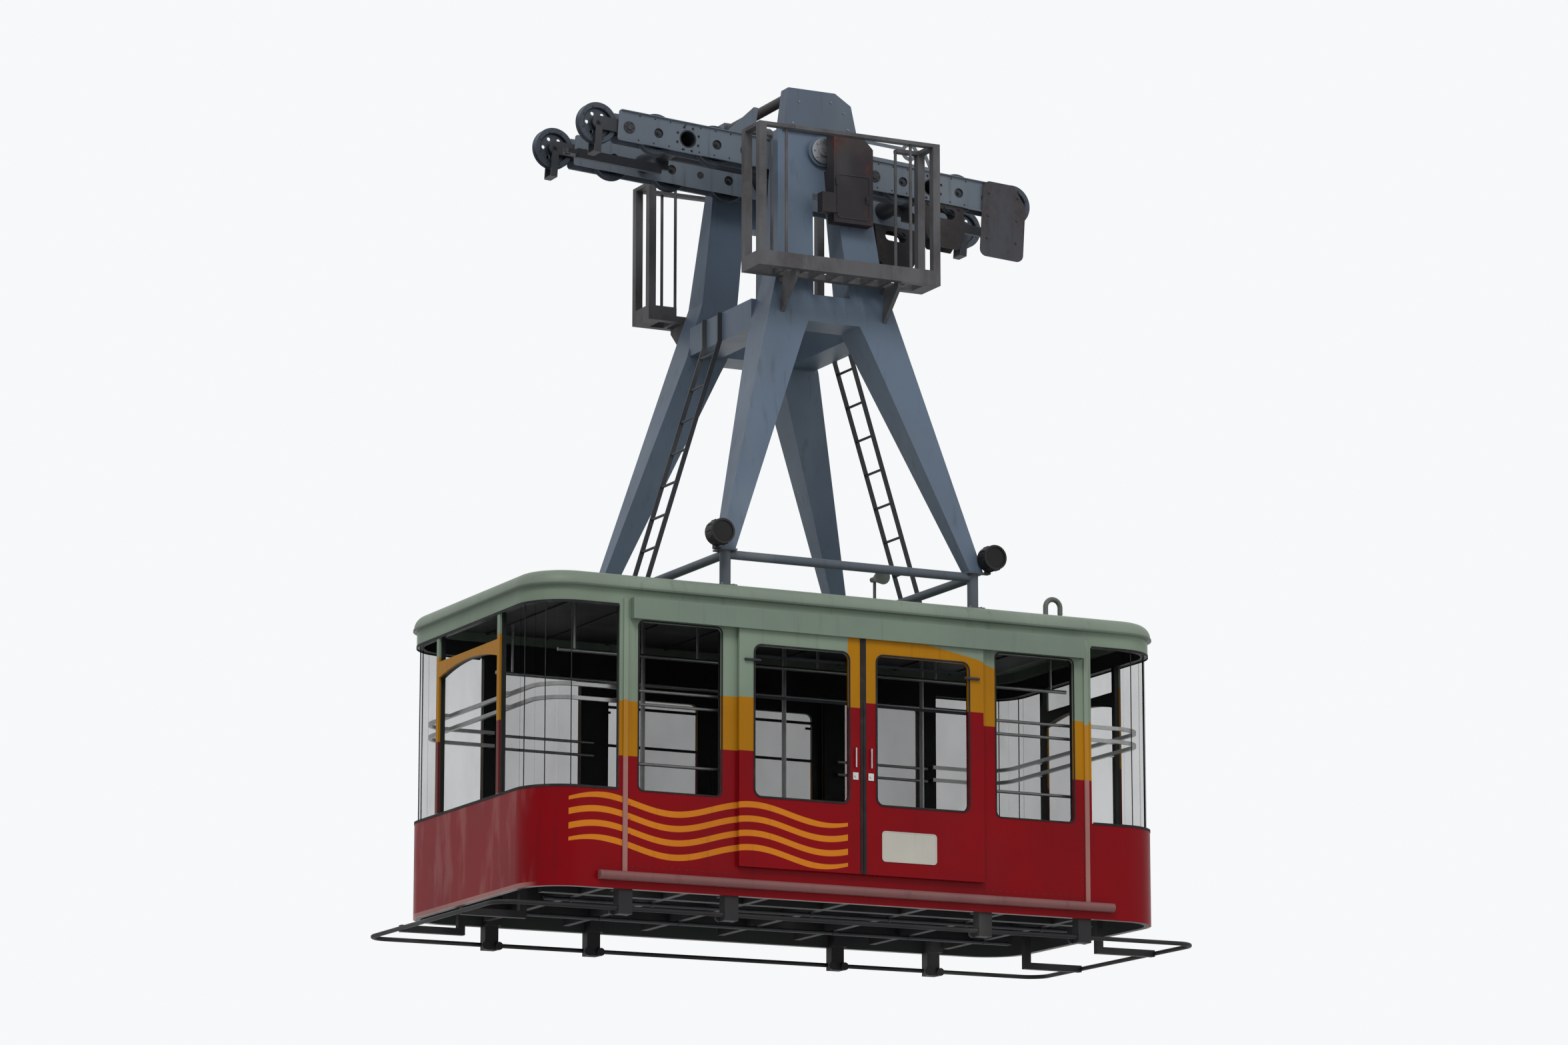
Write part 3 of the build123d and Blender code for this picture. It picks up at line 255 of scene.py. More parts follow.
# Its upper edge: (place along the side, height).
GOLD_HEAD = (
    (-2.4, 1.5), (-1.97, 1.5), (-1.95, 1.605), (-0.16, 1.605), (-0.14, 2.2), (0.02, 2.2),
    (0.3, 2.168), (0.6, 2.16), (1.05, 2.075), (1.3, 2.0), (1.32, 1.64), (2.4, 1.64),
)
# The gold waves on the red: the distance from line to line, the field's middle height, how far
# the lines swing up and down and in how many radians a metre, half the field's height, where it
# is highest along the side, by how much it narrows a metre, and where it begins and ends.
WAVE_GOLD = (190, 112, 26)
WAVE_PITCH = 0.115
WAVE_LEVEL = 0.505
WAVE_SWELL, WAVE_TURN = 0.06, 4.7
WAVE_FIELD, WAVE_MIDDLE, WAVE_TAPER = 0.25, -1.36, 0.06
WAVE_SPAN = (-2.58, -0.14)
# The joint strips: where gold and sage begin, and how much higher on the right.
STRIP_GOLD, STRIP_SAGE, STRIP_LIFT = 1.05, 1.51, 0.1


def side_paint(n, along, z):
    """The sides: red below, a gold band with stepped edges, sage above."""
    foot = GOLD_START
    for start, rise in GOLD_STEPS:
        foot = n.math("ADD", foot, n.math("MULTIPLY", n.math("GREATER_THAN", along, start), rise))
    head = stepped_line(n, along, -2.4, 2.4, GOLD_HEAD)
    body = n.mix(n.edge(n.math("SUBTRACT", z, foot), 0), rgb(*RED), rgb(*GOLD))
    return n.mix(n.edge(n.math("SUBTRACT", z, head), 0), body, rgb(*SAGE))


def end_paint(n, x, y, z):
    """The ends: red with pale streaks of painted reflection on the flat face and a pale lower edge,
    sage above, mullions in two colours.
    """
    flat = n.ramp(n.math("ABSOLUTE", x), HALF_L - 0.09, HALF_L - 0.005)
    # The pale streaks on the flat end face are painted reflection.
    glint_streaks = n.ramp(n.noise(2.7, (1, 2.0, 0.5), detail=3.0), 0.47, 0.66)
    reflected_red = n.mix(n.math("MULTIPLY", n.both(flat, glint_streaks), 0.36), rgb(*RED), rgb(150, 96, 92))
    body = n.mix(n.edge(z, SILL + 0.006), reflected_red, rgb(*SAGE))
    body = n.mix(n.both(flat, n.math("LESS_THAN", z, 0.035)), body, rgb(150, 104, 98))
    middle = n.math("LESS_THAN", n.math("ABSOLUTE", y), MULLION_Y)
    post = n.mix(n.edge(z, MULLION_SPLIT), rgb(*RUST_RED), rgb(*GOLD))
    return n.mix(n.both(middle, n.between(z, *MULLION_SPAN)), body, post)


def wave_lines(n, along, z):
    """Evenly spaced lines that swing together, in a field that narrows away from its middle."""
    swell = n.math("MULTIPLY", n.math("SINE", n.math("MULTIPLY", along, WAVE_TURN)), WAVE_SWELL)
    level = n.math("SUBTRACT", n.math("SUBTRACT", z, WAVE_LEVEL), swell)
    turn = n.math("FRACT", n.math("MULTIPLY", level, 1 / WAVE_PITCH))
    off = n.math("ABSOLUTE", n.math("SUBTRACT", turn, 0.5))
    lines = n.math("SUBTRACT", 1.0, n.ramp(off, 0.2, 0.23))
    away = n.math("ABSOLUTE", n.math("SUBTRACT", along, WAVE_MIDDLE))
    reach = n.math("ADD", n.math("ABSOLUTE", level), n.math("MULTIPLY", away, WAVE_TAPER))
    field = n.math("LESS_THAN", reach, WAVE_FIELD)
    return n.both(lines, field, n.between(along, *WAVE_SPAN))


def inside(n, x, y, reach):
    """True within reach of the body's plan less its corner radius."""
    across = n.math("MAXIMUM", n.math("SUBTRACT", n.math("ABSOLUTE", x), HALF_L - CORNER), 0.0)
    out = n.math("MAXIMUM", n.math("SUBTRACT", n.math("ABSOLUTE", y), HALF_W - CORNER), 0.0)
    far = n.math("SQRT", n.math("ADD", n.both(across, across), n.both(out, out)))
    return n.math("LESS_THAN", far, reach)


def livery(name, lining_reach):
    """The body's paint outside, and a grey lining, darkened as painted shade of the interior, on the
    faces within lining_reach.
    """
    n = Nodes(name)
    x, y, z = n.place()
    along = n.along(x, y)
    is_end = n.math("GREATER_THAN", n.math("ABSOLUTE", x), JOINT_X + 0.07)
    body = n.mix(is_end, side_paint(n, along, z), end_paint(n, x, y, z))
    body = n.mix(wave_lines(n, along, z), body, rgb(*WAVE_GOLD))
    body = weathered(n, body, 0.2, 0.06, (46, 16, 18), fade=0.008)
    n.set(Base_Color=n.mix(inside(n, x, y, lining_reach), body, rgb(*LINING_AND_SHADE)))
    n.set(Coat_Weight=0.02, Coat_Roughness=0.2)
    coat(n, 0.36, 0.12, 180.0, 0.04, 0.06)
    return n.mat


def strip_livery(name):
    """The joint strips from above: sage, gold and a pinkish tone."""
    n = Nodes(name)
    x, y, z = n.place()
    right = n.math("GREATER_THAN", n.along(x, y), 0.0)
    height = n.math("SUBTRACT", z, n.math("MULTIPLY", right, STRIP_LIFT))
    body = n.mix(n.edge(height, STRIP_GOLD), rgb(142, 96, 90), rgb(*GOLD))
    body = n.mix(n.edge(height, STRIP_SAGE), body, rgb(*SAGE))
    n.set(Base_Color=weathered(n, body, 0.3, 0.2, (70, 40, 38)))
    coat(n, 0.45)
    return n.mat


def glazing(name, cover):
    """Thin grey glass that dims what is behind it; each face keeps back cover of the light."""
    n = Nodes(name)
    smear = n.ramp(n.noise(2.2, (1, 1, 0.5), detail=6.0), 0.35, 0.8)
    n.set(Alpha=n.math("ADD", n.math("MULTIPLY", smear, 0.05), cover))
    n.set(Base_Color=rgb(0, 0, 0), Roughness=0.14, Specular_IOR_Level=0.0)
    return n.mat


def metal(name, color, rough=0.35, stretch=(1, 1, 1), grease=0.5):
    """Worn metal with a fine grain and dark grease in patches."""
    n = Nodes(name)
    grain = n.noise(70.0, stretch, detail=5.0)
    tone = n.mix(n.ramp(grain, 0.3, 0.7), n.mix(0.3, rgb(*color), rgb(30, 30, 32)), rgb(*color))
    oily = n.ramp(n.noise(5.0, detail=6.0), 0.5, 0.75)
    n.set(Base_Color=n.mix(n.math("MULTIPLY", oily, grease), tone, rgb(26, 24, 24)), Metallic=0.85)
    n.set(Roughness=n.math("ADD", n.math("MULTIPLY", grain, 0.25), rough - 0.1))
    n.bump(grain, 0.08)
    return n.mat


def rubber(name, color=(22, 22, 24)):
    n = Nodes(name)
    dust = n.ramp(n.noise(8.0, detail=5.0), 0.45, 0.8)
    n.set(Base_Color=n.mix(n.math("MULTIPLY", dust, 0.3), rgb(*color), rgb(70, 68, 66)), Roughness=0.72)
    n.set(Specular_IOR_Level=0.2)
    n.bump(n.noise(400.0), 0.1)
    return n.mat


def head_paint(name):
    """Hanger grey on the two hoods, dark rust on the tubes between them."""
    n = Nodes(name)
    _, y, _ = n.place()
    hood = n.math("GREATER_THAN", n.math("ABSOLUTE", y), HOOD_INNER)
    grey = weathered(n, rgb(80, 91, 104), 0.45, 0.35, (44, 44, 48))
    tube = weathered(n, rgb(44, 40, 42), 0.5, 0.5, (66, 44, 36))
    n.set(Base_Color=n.mix(hood, tube, grey))
    coat(n, 0.5)
    return n.mat


HANGER_RUST = (78, 58, 48)
hanger = painted("hanger_paint", (85, 99, 115), 0.45, 0.42, 0.16, (50, 50, 53), HANGER_RUST)
beam = painted("beam_paint", (90, 99, 109), 0.48, 0.45, 0.4, (42, 40, 42), HANGER_RUST)
dark = painted("dark_paint", (34, 37, 43), 0.5, 0.2, 0.2)
tube_grey = painted("tube_grey", (76, 83, 91), 0.48, 0.35, 0.2)
black = painted("underside_black", (20, 20, 23), 0.6, 0.2, 0.15, (52, 46, 44))
lamp_black = painted("lamp_black", (12, 12, 13), 0.5, 0.1, 0.05)
brake_paint = rusted("brake_paint", (32, 32, 35), (50, 40, 37), 0.6)
guard_paint = rusted("guard_paint", (64, 66, 72), (62, 50, 46), 0.6)
box_paint = rusted("box_paint", (40, 36, 40), (98, 46, 34), 0.7, 0.55, 0.52, 0.68)
deck_paint = rusted("platform_paint", (86, 86, 88), (56, 47, 45), 0.55, 0.6, 0.42, 0.65)
# Door fascia sage, darker than the walls' sage: painted shade to offset the light the standing-out
# fascias catch.
sage_paint = painted("sage_paint", (105, 119, 105), 0.42, 0.22, 0.08, (60, 62, 56))
roof_paint = painted("roof_paint", (116, 128, 114), 0.5, 0.3, 0.12, (60, 60, 52))
pale = painted("pale_paint", (176, 172, 162), 0.45, 0.2, 0.08, (120, 112, 104))
# Ceiling grey, darkened further to paint the shade inside the cabin.
ceiling = painted("ceiling_grey_and_shade", (34, 35, 37), 0.6, 0.1, 0.0)
step = painted("step_paint", (114, 74, 72), 0.42, 0.45, 0.3, (64, 34, 34))
steel = metal("bare_steel", (136, 138, 142))
wheel_iron = metal("wheel_iron", (62, 68, 76), 0.45)
alloy = metal("rail_alloy", (178, 180, 178), 0.32, (1, 1, 6), 0.15)
# Dark steel; on the axles and their nuts its darkness also paints shade on the axle ends.
dark_steel_and_shade = metal("dark_steel_and_shade", (58, 59, 62), 0.5)
seal = rubber("seal_rubber")
floor_cover = rubber("floor_cover", (92, 94, 96))
side_glass = glazing("side_glass", 0.28)
end_glass = glazing("end_glass", 0.13)
wall_livery = livery("wall_livery", CORNER - 0.018)
leaf_livery = livery("leaf_livery", CORNER + 0.010)
strip_paint = strip_livery("strip_livery")

FINISH = {
    "carriage_side_beams": beam,
    "carriage_cross_frame": dark,
    "haul_rope_lugs": dark_steel_and_shade,
    "wheel_trucks": dark,
    # The axles take dark steel as painted shade on their ends.
    "wheel_axles": dark_steel_and_shade,
    "end_guard": guard_paint,
    "rope_catchers": dark,
    "rope_brakes": brake_paint,
    "carriage_top_gear": beam,
    "hanger_portal_near": hanger,
    "hanger_portal_far": hanger,
    "hanger_cross_girders": hanger,
    "hanger_head": head_paint("head_paint"),
    "pivot_shaft": steel,
    "service_platform_near": deck_paint,
    "service_platform_far": deck_paint,
    "control_box": box_paint,
    "ladders": dark,
    "roof_frame": tube_grey,
    "floodlights": lamp_black,
    "roof_fittings": painted("fitting_paint", (92, 98, 92), 0.5, 0.3, 0.2),
    "cabin_roof": roof_paint,
    "corner_windows": end_glass,
    "end_windows": end_glass,
    "side_windows": side_glass,
    "cabin_floor": floor_cover,
    "underframe": black,
    "joint_strips": strip_paint,
    "door_fascias": sage_paint,
    "step_rails": step,
    "grab_rails": alloy,
    "bumper_frame": black,
}


def finish_of(name):
    if name in FINISH:
        return FINISH[name]
    if name.startswith("wheel_"):
        return wheel_iron
    if name.endswith("_glass"):
        return side_glass
    if name.startswith("door_leaf_"):
        return leaf_livery
    return wall_livery


for name, node in nodes.items():
    node.data.materials.clear()
    node.data.materials.append(finish_of(name))


def piece(name, bm, material, body, smooth=True, bevel=0.0):
    """Makes a mesh object of bm that rides on a body and takes the look of a slot."""
    mesh = bpy.data.meshes.new(name)
    bmesh.ops.recalc_face_normals(bm, faces=bm.faces)
    bm.to_mesh(mesh)
    bm.free()
    obj = bpy.data.objects.new(name, mesh)
    bpy.context.scene.collection.objects.link(obj)
    mesh.materials.append(material)
    if smooth:
        for poly in mesh.polygons:
            poly.use_smooth = True
        mesh.set_sharp_from_angle(angle=math.radians(35))
    if bevel:
        mod = obj.modifiers.new("edge", "BEVEL")
        mod.width = bevel
        mod.segments = 2
        mod.limit_method = "ANGLE"
    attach(obj, body)
    return obj


def add_box(bm, a, b, place=CAB):
    """A box between two opposite corners."""
    lo = [min(u, v) for u, v in zip(a, b)]
    hi = [max(u, v) for u, v in zip(a, b)]
    for v in bmesh.ops.create_cube(bm, size=1.0)["verts"]:
        v.co = place @ Vector([lo[i] + (v.co[i] + 0.5) * (hi[i] - lo[i]) for i in range(3)])


def add_rod(bm, a, b, radius, place=CAB, sides=12, top=None):
    """A rod from a to b, tapered where top is given."""
    a, b = place @ Vector(a), place @ Vector(b)
    axis = b - a
    turn = axis.to_track_quat("Z", "Y").to_matrix().to_4x4()
    bmesh.ops.create_cone(
        bm,
        cap_ends=True,
        segments=sides,
        radius1=radius,
        radius2=radius if top is None else top,
        depth=axis.length,
        matrix=Matrix.Translation((a + b) / 2) @ turn,
    )


def add_bolt(bm, spot, axis, size, place=CAB):
    """Washer, hexagon nut and stud end, standing on spot."""
    spot, axis = Vector(spot), Vector(axis).normalized()
    add_rod(bm, spot, spot + axis * size * 0.25, size * 1.15, place, 16)
    add_rod(bm, spot + axis * size * 0.25, spot + axis * size, size * 0.92, place, 6, size * 0.86)
    add_rod(bm, spot + axis * size, spot + axis * size * 1.3, size * 0.5, place, 10, size * 0.42)


def ring_spots(count, radius, start=0.0):
    for i in range(count):
        a = math.radians(start) + 2 * math.pi * i / count
        yield radius * math.cos(a), radius * math.sin(a)


def outline(w, h, r, steps=6):
    """A rounded rectangle as points."""
    spots = []
    for cx, cy, start in ((1, 1, 0), (-1, 1, 90), (-1, -1, 180), (1, -1, 270)):
        for i in range(steps + 1):
            a = math.radians(start + 90 * i / steps)
            spots.append((cx * (w / 2 - r) + r * math.cos(a), cy * (h / 2 - r) + r * math.sin(a)))
    return spots


def add_band(bm, outer, inner, place, depth):
    """A closed band between two outlines of equal length, raised by depth along local Z."""
    loops = []
    for spots, height in ((outer, 0), (outer, depth), (inner, depth), (inner, 0)):
        loops.append([bm.verts.new(place @ Vector((x, y, height))) for x, y in spots])
    count = len(outer)
    for a, b in ((0, 1), (1, 2), (2, 3), (3, 0)):
        for i in range(count):
            j = (i + 1) % count
            bm.faces.new((loops[a][i], loops[a][j], loops[b][j], loops[b][i]))


def add_frame(bm, centre, w, h, r, band, depth, turn):
    """A rounded window frame, band wide, round an opening of w by h."""
    spot = CAB @ Matrix.Translation(Vector(centre)) @ turn
    outer = outline(w + 2 * band, h + 2 * band, r + band)
    add_band(bm, outer, outline(w, h, r), spot, depth)


def add_strip(bm, spots, width, depth):
    """A flat bar, width high and depth thick, that follows a plan line."""
    count = len(spots)
    rows = []
    for i, (x, y, z) in enumerate(spots):
        a = Vector(spots[max(i - 1, 0)][:2])
        b = Vector(spots[min(i + 1, count - 1)][:2])
        t = (b - a).normalized()
        out = Vector((t.y, -t.x))
        row = []
        for off, up in ((0, -width / 2), (depth, -width / 2), (depth, width / 2), (0, width / 2)):
            row.append(bm.verts.new(CAB @ Vector((x + out.x * off, y + out.y * off, z + up))))
        rows.append(row)
    for i in range(count - 1):
        for k in range(4):
            m = (k + 1) % 4
            bm.faces.new((rows[i][k], rows[i + 1][k], rows[i + 1][m], rows[i][m]))
    bm.faces.new(rows[0])
    bm.faces.new(rows[-1])


NEAR = Matrix.Rotation(math.radians(90), 4, "X")
FAR = Matrix.Rotation(math.radians(180), 4, "Z") @ NEAR
SIDES = ((-1, NEAR), (1, FAR))


def body_line(z, start=2.16, steps=10, end=1):
    """Plan line round one end of the body, from the near side to the far side."""
    spots = [(start, -HALF_W, z)]
    for side in (-1, 1):
        for i in range(steps + 1):
            a = math.radians(90 * (i / steps + (side - 1) / 2))
            x = HALF_L - CORNER + CORNER * math.cos(a)
            y = side * (HALF_W - CORNER) + CORNER * math.sin(a)
            spots.append((x, y, z))
    spots.append((start, HALF_W, z))
    return [(end * x, end * y, z) for x, y, z in spots]


def beam_bolts():
    """Bolt rings, truck pins and rivets on the outer face of each side beam."""
    bm = bmesh.new()
    for side in (-1, 1):
        face = side * BEAM_FACE
        for x in CROSS_TUBES:
            for dx, dz in ring_spots(8, 0.104, 22.5):
                add_bolt(bm, (x + dx, face, AXLE_LINE + dz), (0, side, 0), 0.009, DECK)
        for x in TRUCKS:
            disc, tip = face + side * 0.006, face + side * 0.014
            add_rod(bm, (x, face, AXLE_LINE), (x, disc, AXLE_LINE), 0.052, DECK, 28, 0.05)
            add_rod(bm, (x, disc, AXLE_LINE), (x, tip, AXLE_LINE), 0.028, DECK, 24, 0.024)
            for dx, dz in ring_spots(6, 0.04):
                add_bolt(bm, (x + dx, disc, AXLE_LINE + dz), (0, side, 0), 0.005, DECK)
        for level in RIVET_ROWS:
            for i in range(24):
                x = -1.74 + i * 0.14
                if 0.22 < abs(x) < 1.62:
                    tip = face + side * 0.004
                    add_rod(bm, (x, face, level), (x, tip, level), 0.008, DECK, 10, 0.005)
        for x in (1.13, 1.29, 1.43):
            add_bolt(bm, (x, face, 0.026), (0, side, 0), 0.009, DECK)
    for x in (1.70, 1.98):
        for z in (0.22, 0.02, -0.18):
            add_rod(bm, (x, -GUARD_FACE, z), (x, -GUARD_FACE - 0.006, z), 0.011, DECK, 14, 0.008)
    piece("beam_bolts", bm, dark_steel_and_shade, "carriage")


def axle_nuts():
    bm = bmesh.new()
    for side in (-1, 1):
        for x in WHEELS:
            for out in (-1, 1):
                spot = (x, side * HALF_GAUGE + out * AXLE_END, AXLE_LINE)
                add_bolt(bm, spot, (0, out, 0), 0.016, DECK)
    # The nuts take dark steel so that the axle ends read as in shade: painted shade.
    piece("axle_nuts", bm, dark_steel_and_shade, "carriage")


def wheel_bolts():
    """Eight low bolts on each flange ring, one mesh a wheel because each wheel turns."""
    number = 0
    for side in (-1, 1):
        for x in WHEELS:
            number += 1
            bm = bmesh.new()
            for out in (-1, 1):
                face = side * HALF_GAUGE + out * FLANGE_FACE
                for dx, dz in ring_spots(8, 0.142, 22.5):
                    spot = (x + dx, face, AXLE_LINE + dz)
                    add_rod(bm, spot, (spot[0], face + out * 0.004, spot[2]), 0.009, DECK, 6, 0.008)
            piece("wheel_bolts_%d" % number, bm, dark_steel_and_shade, "wheel_%d_body" % number)


def head_bolts():
    bm = bmesh.new()
    for side in (-1, 1):
        face = side * CAP_FACE
        for dx, dz in ring_spots(8, 0.082):
            add_bolt(bm, (dx, face, PIVOT_LEVEL + dz), (0, side, 0), 0.009)
        add_rod(bm, (0, face, PIVOT_LEVEL), (0, face + side * 0.012, PIVOT_LEVEL), 0.05, CAB, 32, 0.044)
        for x, z in HOOD_BOLTS:
            add_bolt(bm, (x, side * HOOD_FACE, z), (0, side, 0), 0.008)
    piece("head_bolts", bm, steel, "cabin")


def box_fittings():
    """The control box door: its rim, hinges and a turn handle."""
    bm = bmesh.new()
    add_frame(bm, (BOX_X, -BOX_FACE, BOX_Z), 0.29, 0.36, 0.02, 0.012, 0.005, NEAR)
    hinge_x, hinge_y = BOX_X - 0.16, -BOX_FACE - 0.006
    for z in (BOX_Z - 0.12, BOX_Z + 0.12):
        add_rod(bm, (hinge_x, hinge_y, z - 0.03), (hinge_x, hinge_y, z + 0.03), 0.008)
    knob_x, knob_y = BOX_X + 0.125, -BOX_FACE - 0.012
    add_rod(bm, (knob_x, -BOX_FACE, BOX_Z), (knob_x, knob_y, BOX_Z), 0.014, CAB, 16)
    low = (knob_x - 0.008, knob_y, BOX_Z - 0.05)
    add_box(bm, low, (knob_x + 0.008, knob_y - 0.006, BOX_Z + 0.02))
    piece("box_fittings", bm, dark, "cabin", bevel=0.001)


def post_bolts():
    bm = bmesh.new()
    for side in (-1, 1):
        for x in (-POST_X, POST_X):
            for dx in (-0.052, 0.052):
                for dy in (-0.052, 0.052):
                    add_bolt(bm, (x + dx, side * POST_Y + dy, POST_PLATE), (0, 0, 1), 0.008)
    piece("post_bolts", bm, steel, "cabin")


def lamp_fronts():
    """The floodlights' rims and cooling ribs, and their domed front glasses."""
    rims, lenses = bmesh.new(), bmesh.new()
    sides = 24
    for x in (-LAMP_X, LAMP_X):
        turn = CAB @ Matrix.Translation(Vector((x, -LAMP_FACE, LAMP_Z))) @ NEAR
        add_band(rims, list(ring_spots(36, 0.104)), list(ring_spots(36, 0.088)), turn, 0.01)
        rows = []
        for k in range(5):
            share = 1 - k / 5
            height = 0.009 * (1 - share * share)
            row = []
            for px, py in ring_spots(sides, 0.089 * share):
                row.append(lenses.verts.new(turn @ Vector((px, py, height))))
            rows.append(row)
        for k in range(4):
            for i in range(sides):
                j = (i + 1) % sides
                lenses.faces.new((rows[k][i], rows[k][j], rows[k + 1][j], rows[k + 1][i]))
        lenses.faces.new(rows[-1])
        for dx, dz in ring_spots(12, 0.107):
            front = (x + dx, -LAMP_FACE + 0.02, LAMP_Z + dz)
            add_rod(rims, front, (front[0], -LAMP_FACE + 0.1, front[2]), 0.0045, CAB, 8)
    piece("lamp_rims", rims, lamp_black, "cabin")
    piece("lamp_lenses", lenses, end_glass, "cabin")


def roof_trim():
    """Drip rail under the roof edge and low seams across the crown, in a darker sage that also paints
    the shade line under the roof edge.
    """
    bm = bmesh.new()
    rail = CAB @ Matrix.Translation(Vector((0, 0, BODY_TOP + 0.002)))
    outer = outline(ROOF_L + 0.026, ROOF_W + 0.026, ROOF_CORNER + 0.013, 10)
    add_band(bm, outer, outline(ROOF_L, ROOF_W, ROOF_CORNER, 10), rail, 0.014)
    for i in range(5):
        x = -1.6 + 0.8 * i
        add_box(bm, (x - 0.012, -0.96, CROWN), (x + 0.012, 0.96, CROWN + 0.006))
    # The darker sage paints the shadow line under the roof edge.
    piece("roof_trim", bm, painted("trim_shade_paint", (84, 96, 84), 0.5), "cabin")


def window_seals():
    """Seals round the side windows and along the corner glass."""
    bm = bmesh.new()
    at, centre, w, h = SIDE_WINDOW
    for side, turn in SIDES:
        for x in (-at, at):
            add_frame(bm, (x, side * HALF_W, centre), w, h, 0.04, 0.012, 0.004, turn)
    for end in (-1, 1):
        for z, w in ((SILL, 0.02), (CORNER_TOP, 0.022)):
            add_strip(bm, body_line(z, end=end), w, 0.004)
    piece("window_seals", bm, seal, "cabin")


def glass_joints():
    """The upright seams between the bent corner panes."""
    bm = bmesh.new()
    reach = CORNER - 0.026
    for end in (-1, 1):
        for side in (-1, 1):
            for a in (12, 45, 78):
                t = math.radians(a)
                x = end * (HALF_L - CORNER + reach * math.sin(t))
                y = side * (HALF_W - CORNER + reach * math.cos(t))
                add_rod(bm, (x, y, SILL + 0.002), (x, y, CORNER_TOP - 0.002), 0.0045, CAB, 8)
    piece("glass_joints", bm, seal, "cabin")


def panel_rivets():
    """Flush rivets along the lower edge of the sides and beside the joint strips."""
    bm = bmesh.new()
    for side in (-1, 1):
        face = side * HALF_W
        for end in (-1, 1):
            for i in range(14):
                x = end * (JOINT_X - 0.07 - 0.068 * i)
                add_rod(bm, (x, face, 0.178), (x, face + side * 0.0025, 0.178), 0.006, CAB, 8, 0.004)
            for i in range(9):
                x, z = end * (JOINT_X - 0.045), 0.26 + 0.06 * i
                add_rod(bm, (x, face, z), (x, face + side * 0.0025, z), 0.005, CAB, 8, 0.0035)
    piece("panel_rivets", bm, dark_steel_and_shade, "cabin")


def door_seals(body, side, end, turn):
    """Rubber round the leaf's window and along its closing edge."""
    face = side * LEAF_FACE
    at, centre, w, h = LEAF_WINDOW
    bm = bmesh.new()
    add_frame(bm, (end * at, face, centre), w, h, 0.055, 0.016, 0.005, turn)
    add_box(bm, (end * 0.0025, face, 0.24), (end * 0.026, face + side * 0.006, 2.17))
    piece("seals_" + body, bm, seal, body, bevel=0.0015)


def door_handle(body, side, end):
    """An upright grip on two feet, and a lock plate with its barrel."""
    face = side * LEAF_FACE
    x, grip, plate, lock = end * HANDLE_X, face + side * 0.018, face + side * 0.007, face + side * 0.014
    bm = bmesh.new()
    for z in (1.12, 1.24):
        add_rod(bm, (x, face, z), (x, grip, z), 0.006, CAB, 14)
    add_rod(bm, (x, grip, 1.1), (x, grip, 1.26), 0.007, CAB, 16)
    add_box(bm, (end * (HANDLE_X - 0.025), face, 1.0), (end * (HANDLE_X + 0.025), plate, 1.06))
    add_rod(bm, (x, plate, 1.03), (x, lock, 1.03), 0.012, CAB, 20)
    piece("handle_" + body, bm, alloy, body, bevel=0.0015)


def door_bars(body, side, end):
    """Two bars across the leaf's window, and the latch bar on its outer top corner."""
    face = side * LEAF_FACE
    catch = face + side * 0.012
    bm = bmesh.new()
    for z in (1.62, 1.95):
        low = (end * 0.134, side * 1.396, z - 0.012)
        add_box(bm, low, (end * 0.97, side * 1.404, z + 0.012))
    add_rod(bm, (end * 0.93, catch, LATCH_Z), (end * 1.07, catch, LATCH_Z), 0.011, CAB, 12)
    for x in (0.95, 1.05):
        add_rod(bm, (end * x, face, LATCH_Z), (end * x, catch, LATCH_Z), 0.008, CAB, 10)
    piece("bars_" + body, bm, dark, body, bevel=0.001)


def door_details():
    for where, (side, turn) in zip(("near", "far"), SIDES):
        for part, end in (("rear", 1), ("front", -1)):
            body = "door_%s_%s" % (where, part)
            door_seals(body, side, end, turn)
            door_handle(body, side, end)
            door_bars(body, side, end)


def blank_plate():
    """The pale sign plate on the near side's right leaf, left blank."""
    bm = bmesh.new()
    spot = CAB @ Matrix.Translation(Vector((0.42, -LEAF_FACE, 0.475))) @ NEAR
    rim = outline(0.48, 0.235, 0.022)
    add_band(bm, outline(0.5, 0.25, 0.03), rim, spot, 0.006)
    bm.faces.new([bm.verts.new(spot @ Vector((px, py, 0.004))) for px, py in rim])
    piece("blank_plate", bm, pale, "door_near_rear", smooth=False)


def ceiling_lining():
    """A smooth lining with narrow cross battens, its grey darkened as painted shade."""
    bm = bmesh.new()
    add_box(bm, (-2.55, -1.16, CEILING + 0.005), (2.55, 1.16, CEILING + 0.028))
    for i in range(9):
        x = -2.2 + 0.55 * i
        add_box(bm, (x - 0.012, -1.16, CEILING - 0.008), (x + 0.012, 1.16, CEILING + 0.006))
    piece("ceiling_lining", bm, ceiling, "cabin", bevel=0.003)


def inner_rails():
    """Hand rails along the ceiling, three poles, and bars across the side windows."""
    bm = bmesh.new()
    high = 2.02
    for y in (-0.62, 0.62):
        add_rod(bm, (-2.35, y, high), (2.35, y, high), 0.016, CAB, 14)
        for i in range(5):
            x = -2.2 + 1.1 * i
            add_rod(bm, (x, y, high), (x, y, CEILING), 0.012, CAB, 12)
    for x in (-1.3, 0, 1.3):
        add_rod(bm, (x, 0, 0.252), (x, 0, CEILING), 0.019, CAB, 18)
        add_rod(bm, (x, 0, 0.251), (x, 0, 0.262), 0.045, CAB, 24, 0.04)
    for side in (-1, 1):
        rail, wall = side * 1.28, side * 1.327
        for z in (1.02, 1.5, 1.61):
            for x in (-1.6, 1.6):
                add_rod(bm, (x - 0.44, rail, z), (x + 0.44, rail, z), 0.013, CAB, 14)
                for k in (-0.4, 0.4):
                    add_rod(bm, (x + k, rail, z), (x + k, wall, z), 0.009, CAB, 12)
    piece("inner_rails", bm, alloy, "cabin")


